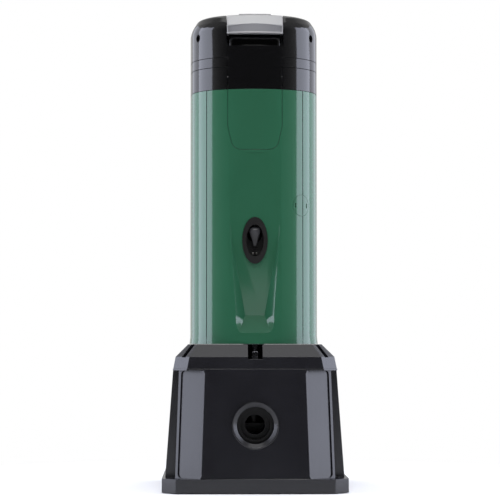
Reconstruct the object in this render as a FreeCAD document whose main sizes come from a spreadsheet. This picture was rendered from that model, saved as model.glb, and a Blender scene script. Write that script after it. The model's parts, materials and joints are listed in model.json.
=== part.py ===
"""A tall electronic water booster pump that stands on its docking base, as a parametric FreeCAD document.

Millimetres, +Z up. The origin is under the middle of the dock, on the floor. -Y is the back, where the
delivery port, the service hatch and the cable outlet are, and +Y is the front, towards which the display
tilts.
"""

import FreeCAD, Part
import math
import os
import re

import Sketcher
from FreeCAD import Placement, Rotation, Vector

# ---------------------------------------------------------------- driving sizes

SIZES = {
    # the pump's outer form: four gentle bows joined by four round corners
    "body_width": 252,
    "body_depth": 288,
    "corner_radius": 95,
    "face_bow_radius": 165,
    "side_bow_radius": 440,
    "cover_wall": 3.5,
    "cover_lift": 0.6,
    "cover_height": 492.4,
    "flare_height": 14,
    "flare_out": 1.8,
    "seam_half": 93,
    "seam_gap": 0.8,
    "fit_gap": 0.3,
    "running_gap": 0.06,
    # the head: two bands and a crown with a bevelled, domed top
    "head_wall": 4,
    "lower_band_height": 43,
    "middle_band_height": 19,
    "crown_height": 63,
    "bevel_rise": 18.5,
    "bevel_inset": 12,
    "dome_edge_rise": 3,
    "dome_edge_inset": 8,
    "dome_mid_rise": 3,
    "dome_mid_inset": 24,
    "dome_top_rise": 2.6,
    "dome_top_inset": 31,
    "head_screw_turn": 60,
    "head_screw_drop": 20,
    "head_screw_recess_radius": 7.2,
    "head_screw_recess_depth": 9,
    "head_screw_radius": 6,
    "head_screw_length": 14,
    "head_screw_head": 3,
    "head_screw_boss_wall": 3,
    # the panel that runs down from the top notch, and the service hatch at its foot
    "back_zone": 60,
    "spine_half": 53,
    "spine_corner": 20,
    "spine_foot_half": 46,
    "spine_taper_height": 46,
    "hatch_height": 117.2,
    "hatch_frame_wall": 3,
    "hatch_frame_lip": 9,
    # the finger recess under the display module
    "grip_drop": 40,
    "grip_height": 23,
    "grip_depth": 38,
    "grip_corner": 16,
    # the display module
    "module_half": 54,
    "module_wall": 4,
    "module_end_wall": 22,
    "module_heel_gap": 10,
    "module_top_wall": 14,
    "module_band_half": 52,
    "module_band_lift": 3,
    "module_band_height": 15.3,
    "module_band_bow": 3.8,
    "module_band_depth": 1.6,
    "pivot_radius": 17,
    "pivot_inset": 60,
    "pivot_lift": 25,
    "pivot_pin_radius": 3,
    "bezel_half": 31,
    "bezel_inset": 23,
    "bezel_overhang": 12,
    "bezel_rise": 2,
    "bezel_wall": 4,
    "lens_length": 84,
    "screen_margin": 2,
    "screen_thickness": 2,
    "key_count": 4,
    "key_pitch": 14,
    "key_radius": 5,
    "key_row_inset": 18,
    "key_height": 7.5,
    "key_rise": 1.2,
    "key_round": 0.6,
    "key_travel": 1,
    "key_gap": 0.35,
    # the sculpted recess in the rear cover, deepening downwards
    "recess_mid_run": 162,
    "recess_top_half": 61,
    "recess_top_floor_half": 57,
    "recess_top_depth": 1.2,
    "recess_low_run": 151,
    "recess_mid_half": 53,
    "recess_mid_floor_half": 45.5,
    "recess_mid_depth": 8,
    "recess_end_run": 34,
    "recess_low_half": 40.5,
    "recess_low_floor_half": 18.5,
    "recess_low_depth": 22,
    "recess_end_lift": 21.4,
    "recess_end_half": 35,
    "recess_end_floor_half": 31,
    "recess_end_depth": 1.5,
    "recess_lead": 14,
    # the oval cable outlet
    "outlet_drop": 7,
    "outlet_width": 49,
    "outlet_length": 90,
    "outlet_rim": 7.8,
    "outlet_top_rim": 14,
    "outlet_lip": 3,
    "outlet_depth": 34,
    "outlet_floor": 4,
    "outlet_proud": 3,
    "outlet_seat_wall": 2,
    "outlet_seat_depth": 10,
    "gland_radius": 14,
    "gland_tip_radius": 9,
    "gland_length": 22,
    "gland_bore_radius": 6.5,
    "gland_rise": 11,
    "gland_screw_radius": 1.9,
    "gland_screw_spread": 3.4,
    "gland_screw_drop": 24,
    "gland_screw_head": 2.4,
    # the round service cap on the right-hand seam
    "cap_turn": 41,
    "cap_lift": 268.4,
    "cap_radius": 20.5,
    "cap_face": 4,
    "cap_stem_radius": 15,
    "cap_stem_length": 7,
    "cap_seat_radius": 26,
    "cap_seat_wall": 4,
    "cap_slot_width": 2.4,
    "cap_slot_length": 9,
    "cap_slot_depth": 2,
    "cap_slot_reach": 14.5,
    "cap_groove_depth": 1.2,
    # the dock
    "foot_ledge_x": 3.5,
    "foot_ledge_y": 1,
    "foot_height": 28,
    "foot_chamfer": 27,
    "foot_hole_radius": 4.5,
    "floor_gap": 1.5,
    "wall_draft_x": 17,
    "wall_draft_y": 21.5,
    "step_ledge_x": 0.5,
    "step_ledge_y": 1.5,
    "step_height": 236,
    "dock_chamfer": 27,
    "dock_wall": 5,
    "deck_draft_x": 4.5,
    "deck_draft_y": 3,
    "deck_bevel_x": 24,
    "deck_bevel_y": 19,
    "deck_side_height": 23,
    "deck_margin_x": 2.5,
    "deck_margin_y": 6,
    "deck_top_chamfer": 20,
    "deck_bevel_height": 24,
    "deck_wall": 6,
    # beside each corner of the dock: a leaning rib, a slanted pocket inside it and a notch outside it
    "rib_inset": 11.5,
    "rib_wall": 4.5,
    "rib_lean": 1.9,
    "pocket_width": 46,
    "pocket_depth": 38,
    "pocket_lip": 2,
    "pocket_top_gap": 3,
    "pocket_corner": 8,
    "notch_reach": 48.5,
    "hold_down_inset": 40,
    "slot_width": 10,
    "slot_corner": 4.5,
    "slot_drop": 1,
    "slot_length": 44,
    "slot_inset": 3,
    "base_plate_gap": 1.2,
    "base_plate_thickness": 4,
    "pad_radius": 20,
    "pad_height": 7,
    "pad_inset_x": 24.8,
    "pad_inset_y": 25.8,
    # ports and the pipework inside the dock
    "port_height": 129,
    "port_rim_radius": 45,
    "port_rim_bore_radius": 35,
    "port_rim_length": 34,
    "port_setback": 7,
    "port_lip": 2.5,
    "port_dish": 6,
    "thread_radius": 28.3,
    "thread_length": 26,
    "port_sink": 26,
    "passage_radius": 20,
    "socket_wall": 6,
    "arm_bore_radius": 19,
    "arm_wall": 9,
    "spigot_offset": 62,
    "spigot_wall": 4,
    "spigot_reach": 40,
    "seal_width": 3,
    "seal_depth": 2,
    "seal_lift": 8,
    "socket_flange_radius": 36,
    "socket_flange_height": 8,
    # the check valve in the suction socket
    "cage_drop": 25.3,
    "valve_seat_thickness": 7,
    "valve_seat_bore": 13,
    "poppet_radius": 17,
    "poppet_thickness": 5,
    "poppet_stem_radius": 3,
    "poppet_stem_length": 44,
    "cage_lift": 42,
    "cage_thickness": 5,
    "cage_port_radius": 5,
    "spring_radius": 7,
    "spring_wire": 1.2,
    # the locking stud in the notch at the back of the dock
    "stud_inset": 17,
    "stud_notch_radius": 14,
    "stud_notch_depth": 28.4,
    "stud_head_radius": 12.7,
    "stud_head_height": 14,
    "stud_neck_radius": 8,
    "stud_pin_radius": 5,
    "stud_pin_length": 11,
    # the pump unit's chassis and water end
    "chassis_thickness": 14,
    "casing_radius": 70,
    "casing_flange_radius": 84,
    "casing_flange_thickness": 12,
    "casing_height": 164.7,
    "casing_wall": 4,
    "casing_port_offset": 48,
    "stage_count": 3,
    "stage_pitch": 42,
    "stage_gap": 6,
    "first_stage_lift": 24.7,
    "impeller_radius": 56,
    "impeller_eye_radius": 28,
    "impeller_rim": 7,
    "impeller_thickness": 12,
    "diffuser_thickness": 8,
    "diffuser_bore_radius": 16,
    "bracket_radius": 78,
    "bracket_clearance": 3,
    "bracket_thickness": 12,
    "motor_radius": 74,
    "motor_wall": 5,
    "motor_height": 214,
    "stator_bore_radius": 42,
    "stator_height": 120,
    "stator_lift": 42,
    "rotor_radius": 41,
    "shaft_radius": 10,
    "shaft_tail": 6,
    "shaft_top_gap": 1,
    "bearing_radius": 22,
    "bearing_height": 14,
    "seal_radius": 18,
    "mech_seal_height": 12,
    "vessel_radius": 27,
    "vessel_height": 224,
    "vessel_foot_bevel": 8,
    "vessel_crown_rise": 14,
    "vessel_crown_inset": 12,
    "vessel_turn": 45,
    "vessel_offset": 62,
    "valve_radius": 5,
    "valve_length": 22,
    "sensor_radius": 9,
    "sensor_height": 30,
    "sensor_gap": 2,
    "sensor_back": 60,
    # the electronics under the head
    "sink_radius": 70,
    "sink_plate": 6,
    "sink_height": 40,
    "sink_fins": 11,
    "sink_fin_wall": 3,
    "sink_fin_span": 91,
    "tray_thickness": 3,
    "tray_lift": 2,
    "board_width": 150,
    "board_depth": 176,
    "board_thickness": 2,
    "board_lift": 8,
    "post_radius": 3,
    "post_inset": 8,
    "capacitor_radius": 14,
    "capacitor_height": 36,
    "capacitor_spread_x": 70,
    "capacitor_spread_y": 90,
}

FORMULAS = {
    # centres of the outer form's bows, and of the round corner between +X and -Y
    "face_centre": "face_bow_radius - body_depth / 2",
    "side_centre": "side_bow_radius - body_width / 2",
    "face_reach": "face_bow_radius - corner_radius",
    "side_reach": "side_bow_radius - corner_radius",
    "centres_apart": "sqrt(face_centre ^ 2 + side_centre ^ 2)",
    "corner_along": "(face_reach ^ 2 - side_reach ^ 2 + centres_apart ^ 2) / (2 * centres_apart)",
    "corner_across": "sqrt(face_reach ^ 2 - corner_along ^ 2)",
    "corner_x": "(corner_across * face_centre - corner_along * side_centre) / centres_apart",
    "corner_fall": "(corner_along * face_centre + corner_across * side_centre) / centres_apart",
    "corner_y": "face_centre - corner_fall",
    # the dock, which follows the pump that stands on it
    "deck_top_width": "body_width + 2 * deck_margin_x",
    "deck_top_depth": "body_depth + 2 * deck_margin_y",
    "deck_edge_width": "deck_top_width + 2 * deck_bevel_x",
    "deck_edge_depth": "deck_top_depth + 2 * deck_bevel_y",
    "deck_foot_width": "deck_edge_width + 2 * deck_draft_x",
    "deck_foot_depth": "deck_edge_depth + 2 * deck_draft_y",
    "wall_top_width": "deck_foot_width + 2 * step_ledge_x",
    "wall_top_depth": "deck_foot_depth + 2 * step_ledge_y",
    "wall_foot_width": "wall_top_width + 2 * wall_draft_x",
    "wall_foot_depth": "wall_top_depth + 2 * wall_draft_y",
    "foot_width": "wall_foot_width + 2 * foot_ledge_x",
    "foot_depth": "wall_foot_depth + 2 * foot_ledge_y",
    "deck_edge_height": "step_height + deck_side_height",
    "deck_top": "deck_edge_height + deck_bevel_height",
    "slot_foot": "deck_edge_height - slot_drop",
    "rib_half": "wall_top_width / 2 - rib_inset",
    "notch_half": "wall_top_depth / 2 - notch_reach",
    "port_face": "wall_foot_depth / 2 - port_setback",
    "pad_spread_x": "2 * (rib_half - dock_wall - base_plate_gap - pad_inset_x)",
    "pad_spread_y": "wall_foot_depth - 2 * (pocket_depth + dock_wall + base_plate_gap + pad_inset_y)",
    "stud_y": "deck_top_depth / 2 - stud_inset",
    "stud_notch_foot": "deck_top - stud_notch_depth",
    "chassis_foot": "deck_top + fit_gap",
    "cage_height": "chassis_foot - spigot_reach - cage_drop",
    "valve_seat_height": "cage_height - cage_lift",
    # heights and places that follow from the sizes above
    "cover_foot": "deck_top + cover_lift",
    "head_foot": "cover_foot + cover_height",
    "cover_top": "head_foot - seam_gap",
    "lower_band_top": "head_foot + lower_band_height",
    "middle_band_top": "lower_band_top + middle_band_height",
    "crown_shoulder": "middle_band_top + crown_height",
    "bevel_top": "crown_shoulder + bevel_rise",
    "dome_edge": "bevel_top + dome_edge_rise",
    "dome_mid": "dome_edge + dome_mid_rise",
    "dome_top": "dome_mid + dome_top_rise",
    "bezel_top": "dome_top + bezel_rise",
    "chassis_top": "chassis_foot + chassis_thickness",
    "motor_foot": "casing_top + bracket_thickness",
    "motor_top": "motor_foot + motor_height",
    "stator_foot": "motor_foot + stator_lift",
    "head_screw_height": "crown_shoulder - head_screw_drop",
    "hatch_foot": "cover_top - hatch_height",
    "grip_foot": "crown_shoulder - grip_drop",
    "module_foot": "grip_foot + grip_height",
    "module_band_foot": "module_foot + module_band_lift",
    "pivot_y": "body_depth / 2 - pivot_inset",
    "pivot_z": "module_foot + pivot_lift",
    "bezel_back": "body_depth / 2 - bezel_inset",
    "bezel_front": "pivot_y - 2 * pivot_radius + bezel_overhang",
    "recess_end": "cover_foot + recess_end_lift",
    "recess_low": "recess_end + recess_end_run",
    "recess_mid": "recess_low + recess_low_run",
    "recess_top": "recess_mid + recess_mid_run",
    "outlet_height": "recess_mid - outlet_drop",
    "cap_height": "cover_foot + cap_lift",
    "casing_top": "chassis_top + casing_height",
    "first_stage": "chassis_top + first_stage_lift",
    "tray_height": "head_foot + tray_lift",
    "pocket_outer": "rib_half - rib_wall",
    "pocket_inner": "pocket_outer - pocket_width",
    "rib_run": "(step_height - floor_gap) * tan(rib_lean * 1 deg)",
    "hold_down_x": "(rib_half + rib_run + wall_foot_width / 2) / 2",
    "hold_down_y": "foot_depth / 2 - hold_down_inset",
    "port_barrel_radius": "port_rim_bore_radius - fit_gap",
    "port_mouth": "port_face - port_sink",
    "deck_underside": "deck_top - deck_wall",
    "key_row": "key_row_inset + lens_length + bezel_wall - bezel_front",
    "key_foot": "bezel_top + key_rise - key_height",
    "socket_radius": "passage_radius + socket_wall",
    "band_bow_radius": "(module_band_half ^ 2 + module_band_bow ^ 2) / (2 * module_band_bow)",
    "spigot_radius": "passage_radius - running_gap",
}

BIG = "1200"  # the side of a construction block that only has to reach past the part

doc = FreeCAD.newDocument("booster_pump")
sheet = doc.addObject("Spreadsheet::Sheet", "dims")


def bound(text):
    """A formula's text with each name from the sheet written as that sheet's cell."""
    known = lambda word: f"dims.{word[0]}" if word[0] in SIZES or word[0] in FORMULAS else word[0]
    return re.sub(r"[a-z]\w*", known, text)


def fill_sheet():
    for row, (alias, number) in enumerate(SIZES.items(), start=1):
        sheet.set(f"A{row}", alias)
        sheet.set(f"B{row}", str(number))
        sheet.setAlias(f"B{row}", alias)
    for row, (alias, formula) in enumerate(FORMULAS.items(), start=len(SIZES) + 1):
        sheet.set(f"A{row}", alias)
        sheet.set(f"B{row}", "=" + bound(formula).replace("dims.", ""))
        sheet.setAlias(f"B{row}", alias)
    doc.recompute()


fill_sheet()


def size(text):
    """The present value of a formula."""
    return float(sheet.evalExpression(bound(text)))


# ---------------------------------------------------------------- ways of making a piece

UP = Rotation()
ALONG = {
    "x": Rotation(Vector(0, 1, 0), 90),
    "y": Rotation(Vector(1, 0, 0), -90),
    "-y": Rotation(Vector(1, 0, 0), 90),
    "z": UP,
    "z, seam aside": Rotation(Vector(0, 0, 1), 45),  # keeps a crossed cylinder's seam out of the crossing
}


def place(piece, x="0", y="0", z="0", turn=UP):
    piece.Placement = Placement(Vector(), turn)
    for axis, text in zip("xyz", (x, y, z)):
        if text != "0":
            piece.setExpression(f"Placement.Base.{axis}", bound(text))
    return piece


def block(name, length, width, height, x="0", y="0", z="0", turn=UP):
    """A box that is centred on x and y and stands on z."""
    piece = doc.addObject("Part::Box", name)
    piece.setExpression("Length", bound(length))
    piece.setExpression("Width", bound(width))
    piece.setExpression("Height", bound(height))
    return place(piece, f"{x} - ({length}) / 2", f"{y} - ({width}) / 2", z, turn)


def rod(name, radius, length, x="0", y="0", z="0", along="z"):
    piece = doc.addObject("Part::Cylinder", name)
    piece.setExpression("Radius", bound(radius))
    piece.setExpression("Height", bound(length))
    return place(piece, x, y, z, ALONG[along])


def joined(name, *pieces):
    whole = doc.addObject("Part::MultiFuse", name)
    whole.Shapes = list(pieces)
    return whole


def cut(name, base, *tools):
    """What is left of base when each tool has been cut away in turn."""
    for tool in tools:
        left = doc.addObject("Part::Cut", name)
        left.Base = base
        left.Tool = tool
        base = left
    return base


def shared(name, base, tool):
    both = doc.addObject("Part::Common", name)
    both.Base = base
    both.Tool = tool
    return both


def mirrored(name, piece):
    """The piece's twin on the other side of the XZ plane."""
    twin = doc.addObject("Part::Mirroring", name)
    twin.Source = piece
    twin.Normal = Vector(0, 1, 0)
    return twin


def new_body(name):
    return doc.addObject("PartDesign::Body", name)


def sketch_on(body, role, name, lift="0"):
    """A sketch on one of the body's own origin planes, lifted along that plane's normal."""
    sketch = body.newObject("Sketcher::SketchObject", name)
    plane = next(feature for feature in body.Origin.OriginFeatures if feature.Role == role)
    sketch.AttachmentSupport = (plane, [""])
    sketch.MapMode = "FlatFace"
    if lift != "0":
        sketch.setExpression("AttachmentOffset.Base.z", bound(lift))
    return sketch


def hold(sketch, kind, geometry, point, text):
    """Holds one coordinate of a point to a formula."""
    if text == "0":
        axis = -2 if kind == "DistanceX" else -1  # the sketch's own V axis, or its H axis
        sketch.addConstraint(Sketcher.Constraint("PointOnObject", geometry, point, axis))
        return
    index = sketch.addConstraint(Sketcher.Constraint(kind, -1, 1, geometry, point, size(text)))
    sketch.setExpression(f"Constraints[{index}]", bound(text))


def radius_of(sketch, arc, text):
    index = sketch.addConstraint(Sketcher.Constraint("Radius", arc, size(text)))
    sketch.setExpression(f"Constraints[{index}]", bound(text))


def angle_of(sketch, line, text):
    """Holds a line's direction, in degrees from the sketch's horizontal, to a formula."""
    index = sketch.addConstraint(Sketcher.Constraint("Angle", line, math.radians(size(text))))
    sketch.setExpression(f"Constraints[{index}]", bound(text))


def polygon(sketch, corners):
    """A closed outline of straight lines through corners, each held to formulas."""
    spots = [Vector(size(u), size(v), 0) for u, v in corners]
    count = len(corners)
    for index, start in enumerate(spots):
        sketch.addGeometry(Part.LineSegment(start, spots[(index + 1) % count]))
    for index, (u, v) in enumerate(corners):
        sketch.addConstraint(Sketcher.Constraint("Coincident", index, 2, (index + 1) % count, 1))
        hold(sketch, "DistanceX", index, 1, u)
        hold(sketch, "DistanceY", index, 1, v)


def arc_at(centre, radius, start, end):
    return Part.ArcOfCircle(Part.Circle(centre, Vector(0, 0, 1), radius), start, end)


def body_outline(sketch, inset):
    """The pump's bowed outline, moved inwards by inset: eight arcs, each tangent to the next."""
    face, side, corner = (f"{kind}_radius - ({inset})" for kind in ("face_bow", "side_bow", "corner"))
    face_y, side_x = size("face_centre"), size("side_centre")
    corner_x, corner_y = size("corner_x"), size("corner_y")
    steep = math.atan2(corner_y - face_y, corner_x)
    flat = math.atan2(corner_y, corner_x + side_x)
    turn = math.pi
    arcs = (
        (Vector(-side_x, 0), side, flat, -flat),
        (Vector(corner_x, -corner_y), corner, -flat, -steep),
        (Vector(0, -face_y), face, -steep, turn + steep),
        (Vector(-corner_x, -corner_y), corner, turn + steep, turn + flat),
        (Vector(side_x, 0), side, turn + flat, turn - flat),
        (Vector(-corner_x, corner_y), corner, turn - flat, turn - steep),
        (Vector(0, face_y), face, turn - steep, 2 * turn + steep),
        (Vector(corner_x, corner_y), corner, 2 * turn + steep, 2 * turn + flat),
    )
    for index, (centre, radius, start, end) in enumerate(arcs):
        sketch.addGeometry(arc_at(centre, size(radius), start, end))
        radius_of(sketch, index, radius)
    for index in range(len(arcs)):
        sketch.addConstraint(Sketcher.Constraint("Tangent", index, 2, (index + 1) % len(arcs), 1))
    middle = 3
    for index, x, y in ((0, "-side_centre", "0"), (2, "0", "-face_centre"), (4, "side_centre", "0"),
                        (6, "0", "face_centre")):
        hold(sketch, "DistanceX", index, middle, x)
        hold(sketch, "DistanceY", index, middle, y)


def rounded_outline(sketch, width, depth, corner, x="0", y="0", lean="0"):
    """A rectangle with round corners, centred on x and y. Its sides may lean, with x held at their foot."""
    right, left = f"{x} + ({width}) / 2", f"{x} - ({width}) / 2"
    top, bottom = f"{y} + ({depth}) / 2", f"{y} - ({depth}) / 2"
    r, x1, x0, y1, y0 = (size(text) for text in (corner, right, left, top, bottom))
    quarter = math.pi / 2
    pieces = (
        Part.LineSegment(Vector(x0 + r, y0), Vector(x1 - r, y0)),
        arc_at(Vector(x1 - r, y0 + r), r, -quarter, 0),
        Part.LineSegment(Vector(x1, y0 + r), Vector(x1, y1 - r)),
        arc_at(Vector(x1 - r, y1 - r), r, 0, quarter),
        Part.LineSegment(Vector(x1 - r, y1), Vector(x0 + r, y1)),
        arc_at(Vector(x0 + r, y1 - r), r, quarter, 2 * quarter),
        Part.LineSegment(Vector(x0, y1 - r), Vector(x0, y0 + r)),
        arc_at(Vector(x0 + r, y0 + r), r, 2 * quarter, 3 * quarter),
    )
    for piece in pieces:
        sketch.addGeometry(piece)
    for index in range(len(pieces)):
        sketch.addConstraint(Sketcher.Constraint("Tangent", index, 2, (index + 1) % len(pieces), 1))
    start, end = 1, 2
    for index, kind, point, side in ((0, "DistanceY", start, bottom), (2, "DistanceX", start, right),
                                     (4, "DistanceY", start, top), (6, "DistanceX", end, left)):
        hold(sketch, kind, index, point, side)
        radius_of(sketch, index + 1, corner)
    for index in (0, 4):
        sketch.addConstraint(Sketcher.Constraint("Horizontal", index))
    sketch.addConstraint(Sketcher.Constraint("Parallel", 2, 6))
    if lean == "0":
        sketch.addConstraint(Sketcher.Constraint("Vertical", 2))
    else:
        angle_of(sketch, 2, f"90 deg + ({lean}) * 1 deg")


def pad(body, sketch, length, reverse=False):
    feature = body.newObject("PartDesign::Pad", f"{body.Name}_pad")
    feature.Profile = sketch
    feature.setExpression("Length", bound(length))
    feature.Reversed = reverse
    return body


def loft(body, sketches):
    feature = body.newObject("PartDesign::AdditiveLoft", f"{body.Name}_loft")
    feature.Profile = sketches[0]
    feature.Sections = sketches[1:]
    feature.Ruled = True
    return body


def body_prism(name, inset, foot, height):
    """The pump's outline, moved inwards and padded upwards from foot."""
    body = new_body(name)
    sketch = sketch_on(body, "XY_Plane", f"{name}_outline", foot)
    body_outline(sketch, inset)
    return pad(body, sketch, height)


def body_loft(name, levels):
    """The pump's outline through (height, inset) levels, with straight walls between them."""
    body = new_body(name)
    sketches = []
    for index, (height, inset) in enumerate(levels):
        sketches.append(sketch_on(body, "XY_Plane", f"{name}_level{index}", height))
        body_outline(sketches[-1], inset)
    return loft(body, sketches)


def chamfered_outline(sketch, width, depth, chamfer):
    """A rectangle with its corners cut off, centred on the origin."""
    x, y = f"({width}) / 2", f"({depth}) / 2"
    flat_x, flat_y = f"({x} - ({chamfer}))", f"({y} - ({chamfer}))"
    polygon(sketch, [
        (x, f"-{flat_y}"), (x, flat_y), (flat_x, y), (f"-{flat_x}", y),
        (f"-({x})", flat_y), (f"-({x})", f"-{flat_y}"), (f"-{flat_x}", f"-({y})"), (flat_x, f"-({y})"),
    ])


def chamfered_prism(name, foot, height, width, depth, chamfer):
    body = new_body(name)
    sketch = sketch_on(body, "XY_Plane", f"{name}_outline", foot)
    chamfered_outline(sketch, width, depth, chamfer)
    return pad(body, sketch, height)


def chamfered_loft(name, levels):
    """Chamfered rectangles through (height, width, depth, chamfer) levels."""
    body = new_body(name)
    sketches = []
    for index, (height, width, depth, chamfer) in enumerate(levels):
        sketches.append(sketch_on(body, "XY_Plane", f"{name}_level{index}", height))
        chamfered_outline(sketches[-1], width, depth, chamfer)
    return loft(body, sketches)


def rounded_prism(name, role, lift, length, outline, reverse=False):
    """A rounded rectangle (width, depth, corner, x, y) on an origin plane, padded by length."""
    body = new_body(name)
    sketch = sketch_on(body, role, f"{name}_outline", lift)
    rounded_outline(sketch, *outline)
    return pad(body, sketch, length, reverse)


def turned(name, corners, x="0", y="0", z="0", turn=UP):
    """A solid of revolution about its own Z axis, from (radius, height) corners."""
    body = new_body(name)
    sketch = sketch_on(body, "XZ_Plane", f"{name}_profile")
    polygon(sketch, corners)
    feature = body.newObject("PartDesign::Revolution", f"{name}_turn")
    feature.Profile = sketch
    feature.ReferenceAxis = (sketch, ["V_Axis"])
    feature.Angle = 360
    return place(body, x, y, z, turn)


def ring(name, outer, inner, height, x="0", y="0", z="0", turn=UP):
    corners = ((inner, "0"), (outer, "0"), (outer, height), (inner, height))
    return turned(name, corners, x, y, z, turn)


def corner_spot(turn, radius):
    """The x and y of a point at a radius about the round corner between +X and -Y, turned from -Y."""
    return f"corner_x + ({radius}) * sin({turn} * 1 deg)", f"corner_y - ({radius}) * cos({turn} * 1 deg)"


def facing(turn):
    """Turns a piece's +Z to point outwards, turned by an angle from -Y towards +X."""
    return Rotation(Vector(0, 0, 1), size(turn)).multiply(Rotation(Vector(1, 0, 0), 90))


nodes = []


def node(piece, name):
    """Marks a finished sub-part and gives it its own name."""
    piece.Label = name
    nodes.append(piece)
    return piece


# ---------------------------------------------------------------- the dock


def wall_loft(name, inset):
    """The dock's drafted walls, moved inwards by inset, from the floor to the step under the deck."""
    return chamfered_loft(name, [
        ("floor_gap", f"wall_foot_width - 2 * ({inset})", f"wall_foot_depth - 2 * ({inset})",
         "dock_chamfer"),
        ("step_height", f"wall_top_width - 2 * ({inset})", f"wall_top_depth - 2 * ({inset})",
         "dock_chamfer"),
    ])


def pocket_floors():
    """The slanted floors of the four pockets, drafted like the walls and deepest beside the ribs."""
    body = new_body("pocket_floors")
    sketches = []
    for level, half, run in (("floor_gap", "wall_foot_depth / 2", "rib_run"),
                             ("step_height", "wall_top_depth / 2", "0")):
        deep, shallow = f"({half} - pocket_depth)", f"({half} - pocket_lip)"
        sides = ("pocket_inner", "pocket_outer", "rib_half")
        inner, outer, behind = (f"({side} + {run})" for side in sides)
        sketch = sketch_on(body, "XY_Plane", f"pocket_floors_at_{level}", level)
        polygon(sketch, [
            (f"-{behind}", f"-{deep}"), (f"-{outer}", f"-{deep}"), (f"-{inner}", f"-{shallow}"),
            (inner, f"-{shallow}"), (outer, f"-{deep}"), (behind, f"-{deep}"),
            (behind, deep), (outer, deep), (inner, shallow),
            (f"-{inner}", shallow), (f"-{outer}", deep), (f"-{behind}", deep),
        ])
        sketches.append(sketch)
    return loft(body, sketches)


def pockets():
    """Two tall round-cornered pockets in the dock's back and two in its front, leaning like the ribs."""
    height = "step_height - pocket_top_gap - foot_height"
    foot_run = "(step_height - foot_height - pocket_corner) * tan(rib_lean * 1 deg)"
    zones = []
    for side, sign in (("left", "-1"), ("right", "1")):
        outline = ("pocket_width", height, "pocket_corner",
                   f"{sign} * (pocket_outer + {foot_run} - pocket_width / 2)",
                   f"foot_height + ({height}) / 2", f"{sign} * rib_lean")
        zones.append(rounded_prism(f"pocket_zone_{side}", "XZ_Plane", f"-{BIG} / 2", BIG, outline))
    return cut("pocket_cutter", joined("pocket_zones", *zones), pocket_floors())


def corner_notches():
    """The notch outside each rib, open to the corner, which uncovers the foot and its hold-down hole."""
    body = new_body("rib_limit")
    sketch = sketch_on(body, "XZ_Plane", "rib_limit_outline", f"-{BIG} / 2")
    polygon(sketch, [
        ("-(rib_half + rib_run)", "floor_gap"), ("rib_half + rib_run", "floor_gap"),
        ("rib_half", "step_height"), ("-rib_half", "step_height"),
    ])
    rib_limit = pad(body, sketch, BIG)
    corners = [
        block("corner_zone", BIG, BIG, "step_height - pocket_top_gap - foot_height",
              f"{x} * {BIG} / 2", f"{y} * (notch_half + {BIG} / 2)", "foot_height")
        for x in ("-1", "1") for y in ("-1", "1")
    ]
    return [cut("corner_notch", corner, rib_limit) for corner in corners]


def dock_hollow():
    """The space inside the dock's walls, which steps inwards behind the pockets and notches."""
    narrow = block("hollow_width", "2 * (pocket_inner - dock_wall)", BIG, "step_height")
    short = block("hollow_depth", BIG, "2 * (notch_half - dock_wall)", "step_height")
    arms = shared("hollow_arms", wall_loft("hollow_skin", "dock_wall"),
                  joined("hollow_cross", narrow, short))
    width = "2 * (rib_half - dock_wall)"
    core = chamfered_loft("hollow_core", [
        ("floor_gap", width, "wall_foot_depth - 2 * (pocket_depth + dock_wall)", "dock_wall"),
        ("step_height", width, "wall_top_depth - 2 * (pocket_depth + dock_wall)", "dock_wall"),
    ])
    return joined("dock_hollow", arms, core)


def hold_down_holes():
    return [
        rod("hold_down_hole", "foot_hole_radius", "foot_height + 2", f"{x} * hold_down_x",
            f"{y} * hold_down_y")
        for x in ("-1", "1") for y in ("-1", "1")
    ]


def dock_shell():
    port_hole = rod("port_hole", "port_rim_radius + fit_gap", BIG, "0", f"-{BIG} / 2", "port_height", "y")
    foot = chamfered_prism("dock_foot", "floor_gap", "foot_height - floor_gap", "foot_width",
                           "foot_depth", "foot_chamfer")
    solid = joined("dock_solid", wall_loft("dock_walls", "0"), foot)
    carved = cut("dock_carved", solid, pockets(), *corner_notches(), port_hole, *hold_down_holes())
    return node(cut("dock_shell_cut", carved, dock_hollow()), "dock_shell")


def notch_form(name, radius, foot):
    """The stud's notch as a solid: a round end, open to the back and upwards."""
    height = f"deck_top + 1 - ({foot})"
    reach = "deck_foot_depth / 2"
    return joined(
        name,
        rod(f"{name}_round", radius, height, "0", "-stud_y", foot),
        block(f"{name}_mouth", f"2 * ({radius})", reach, height, "0", f"-stud_y - ({reach}) / 2", foot),
    )


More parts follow.
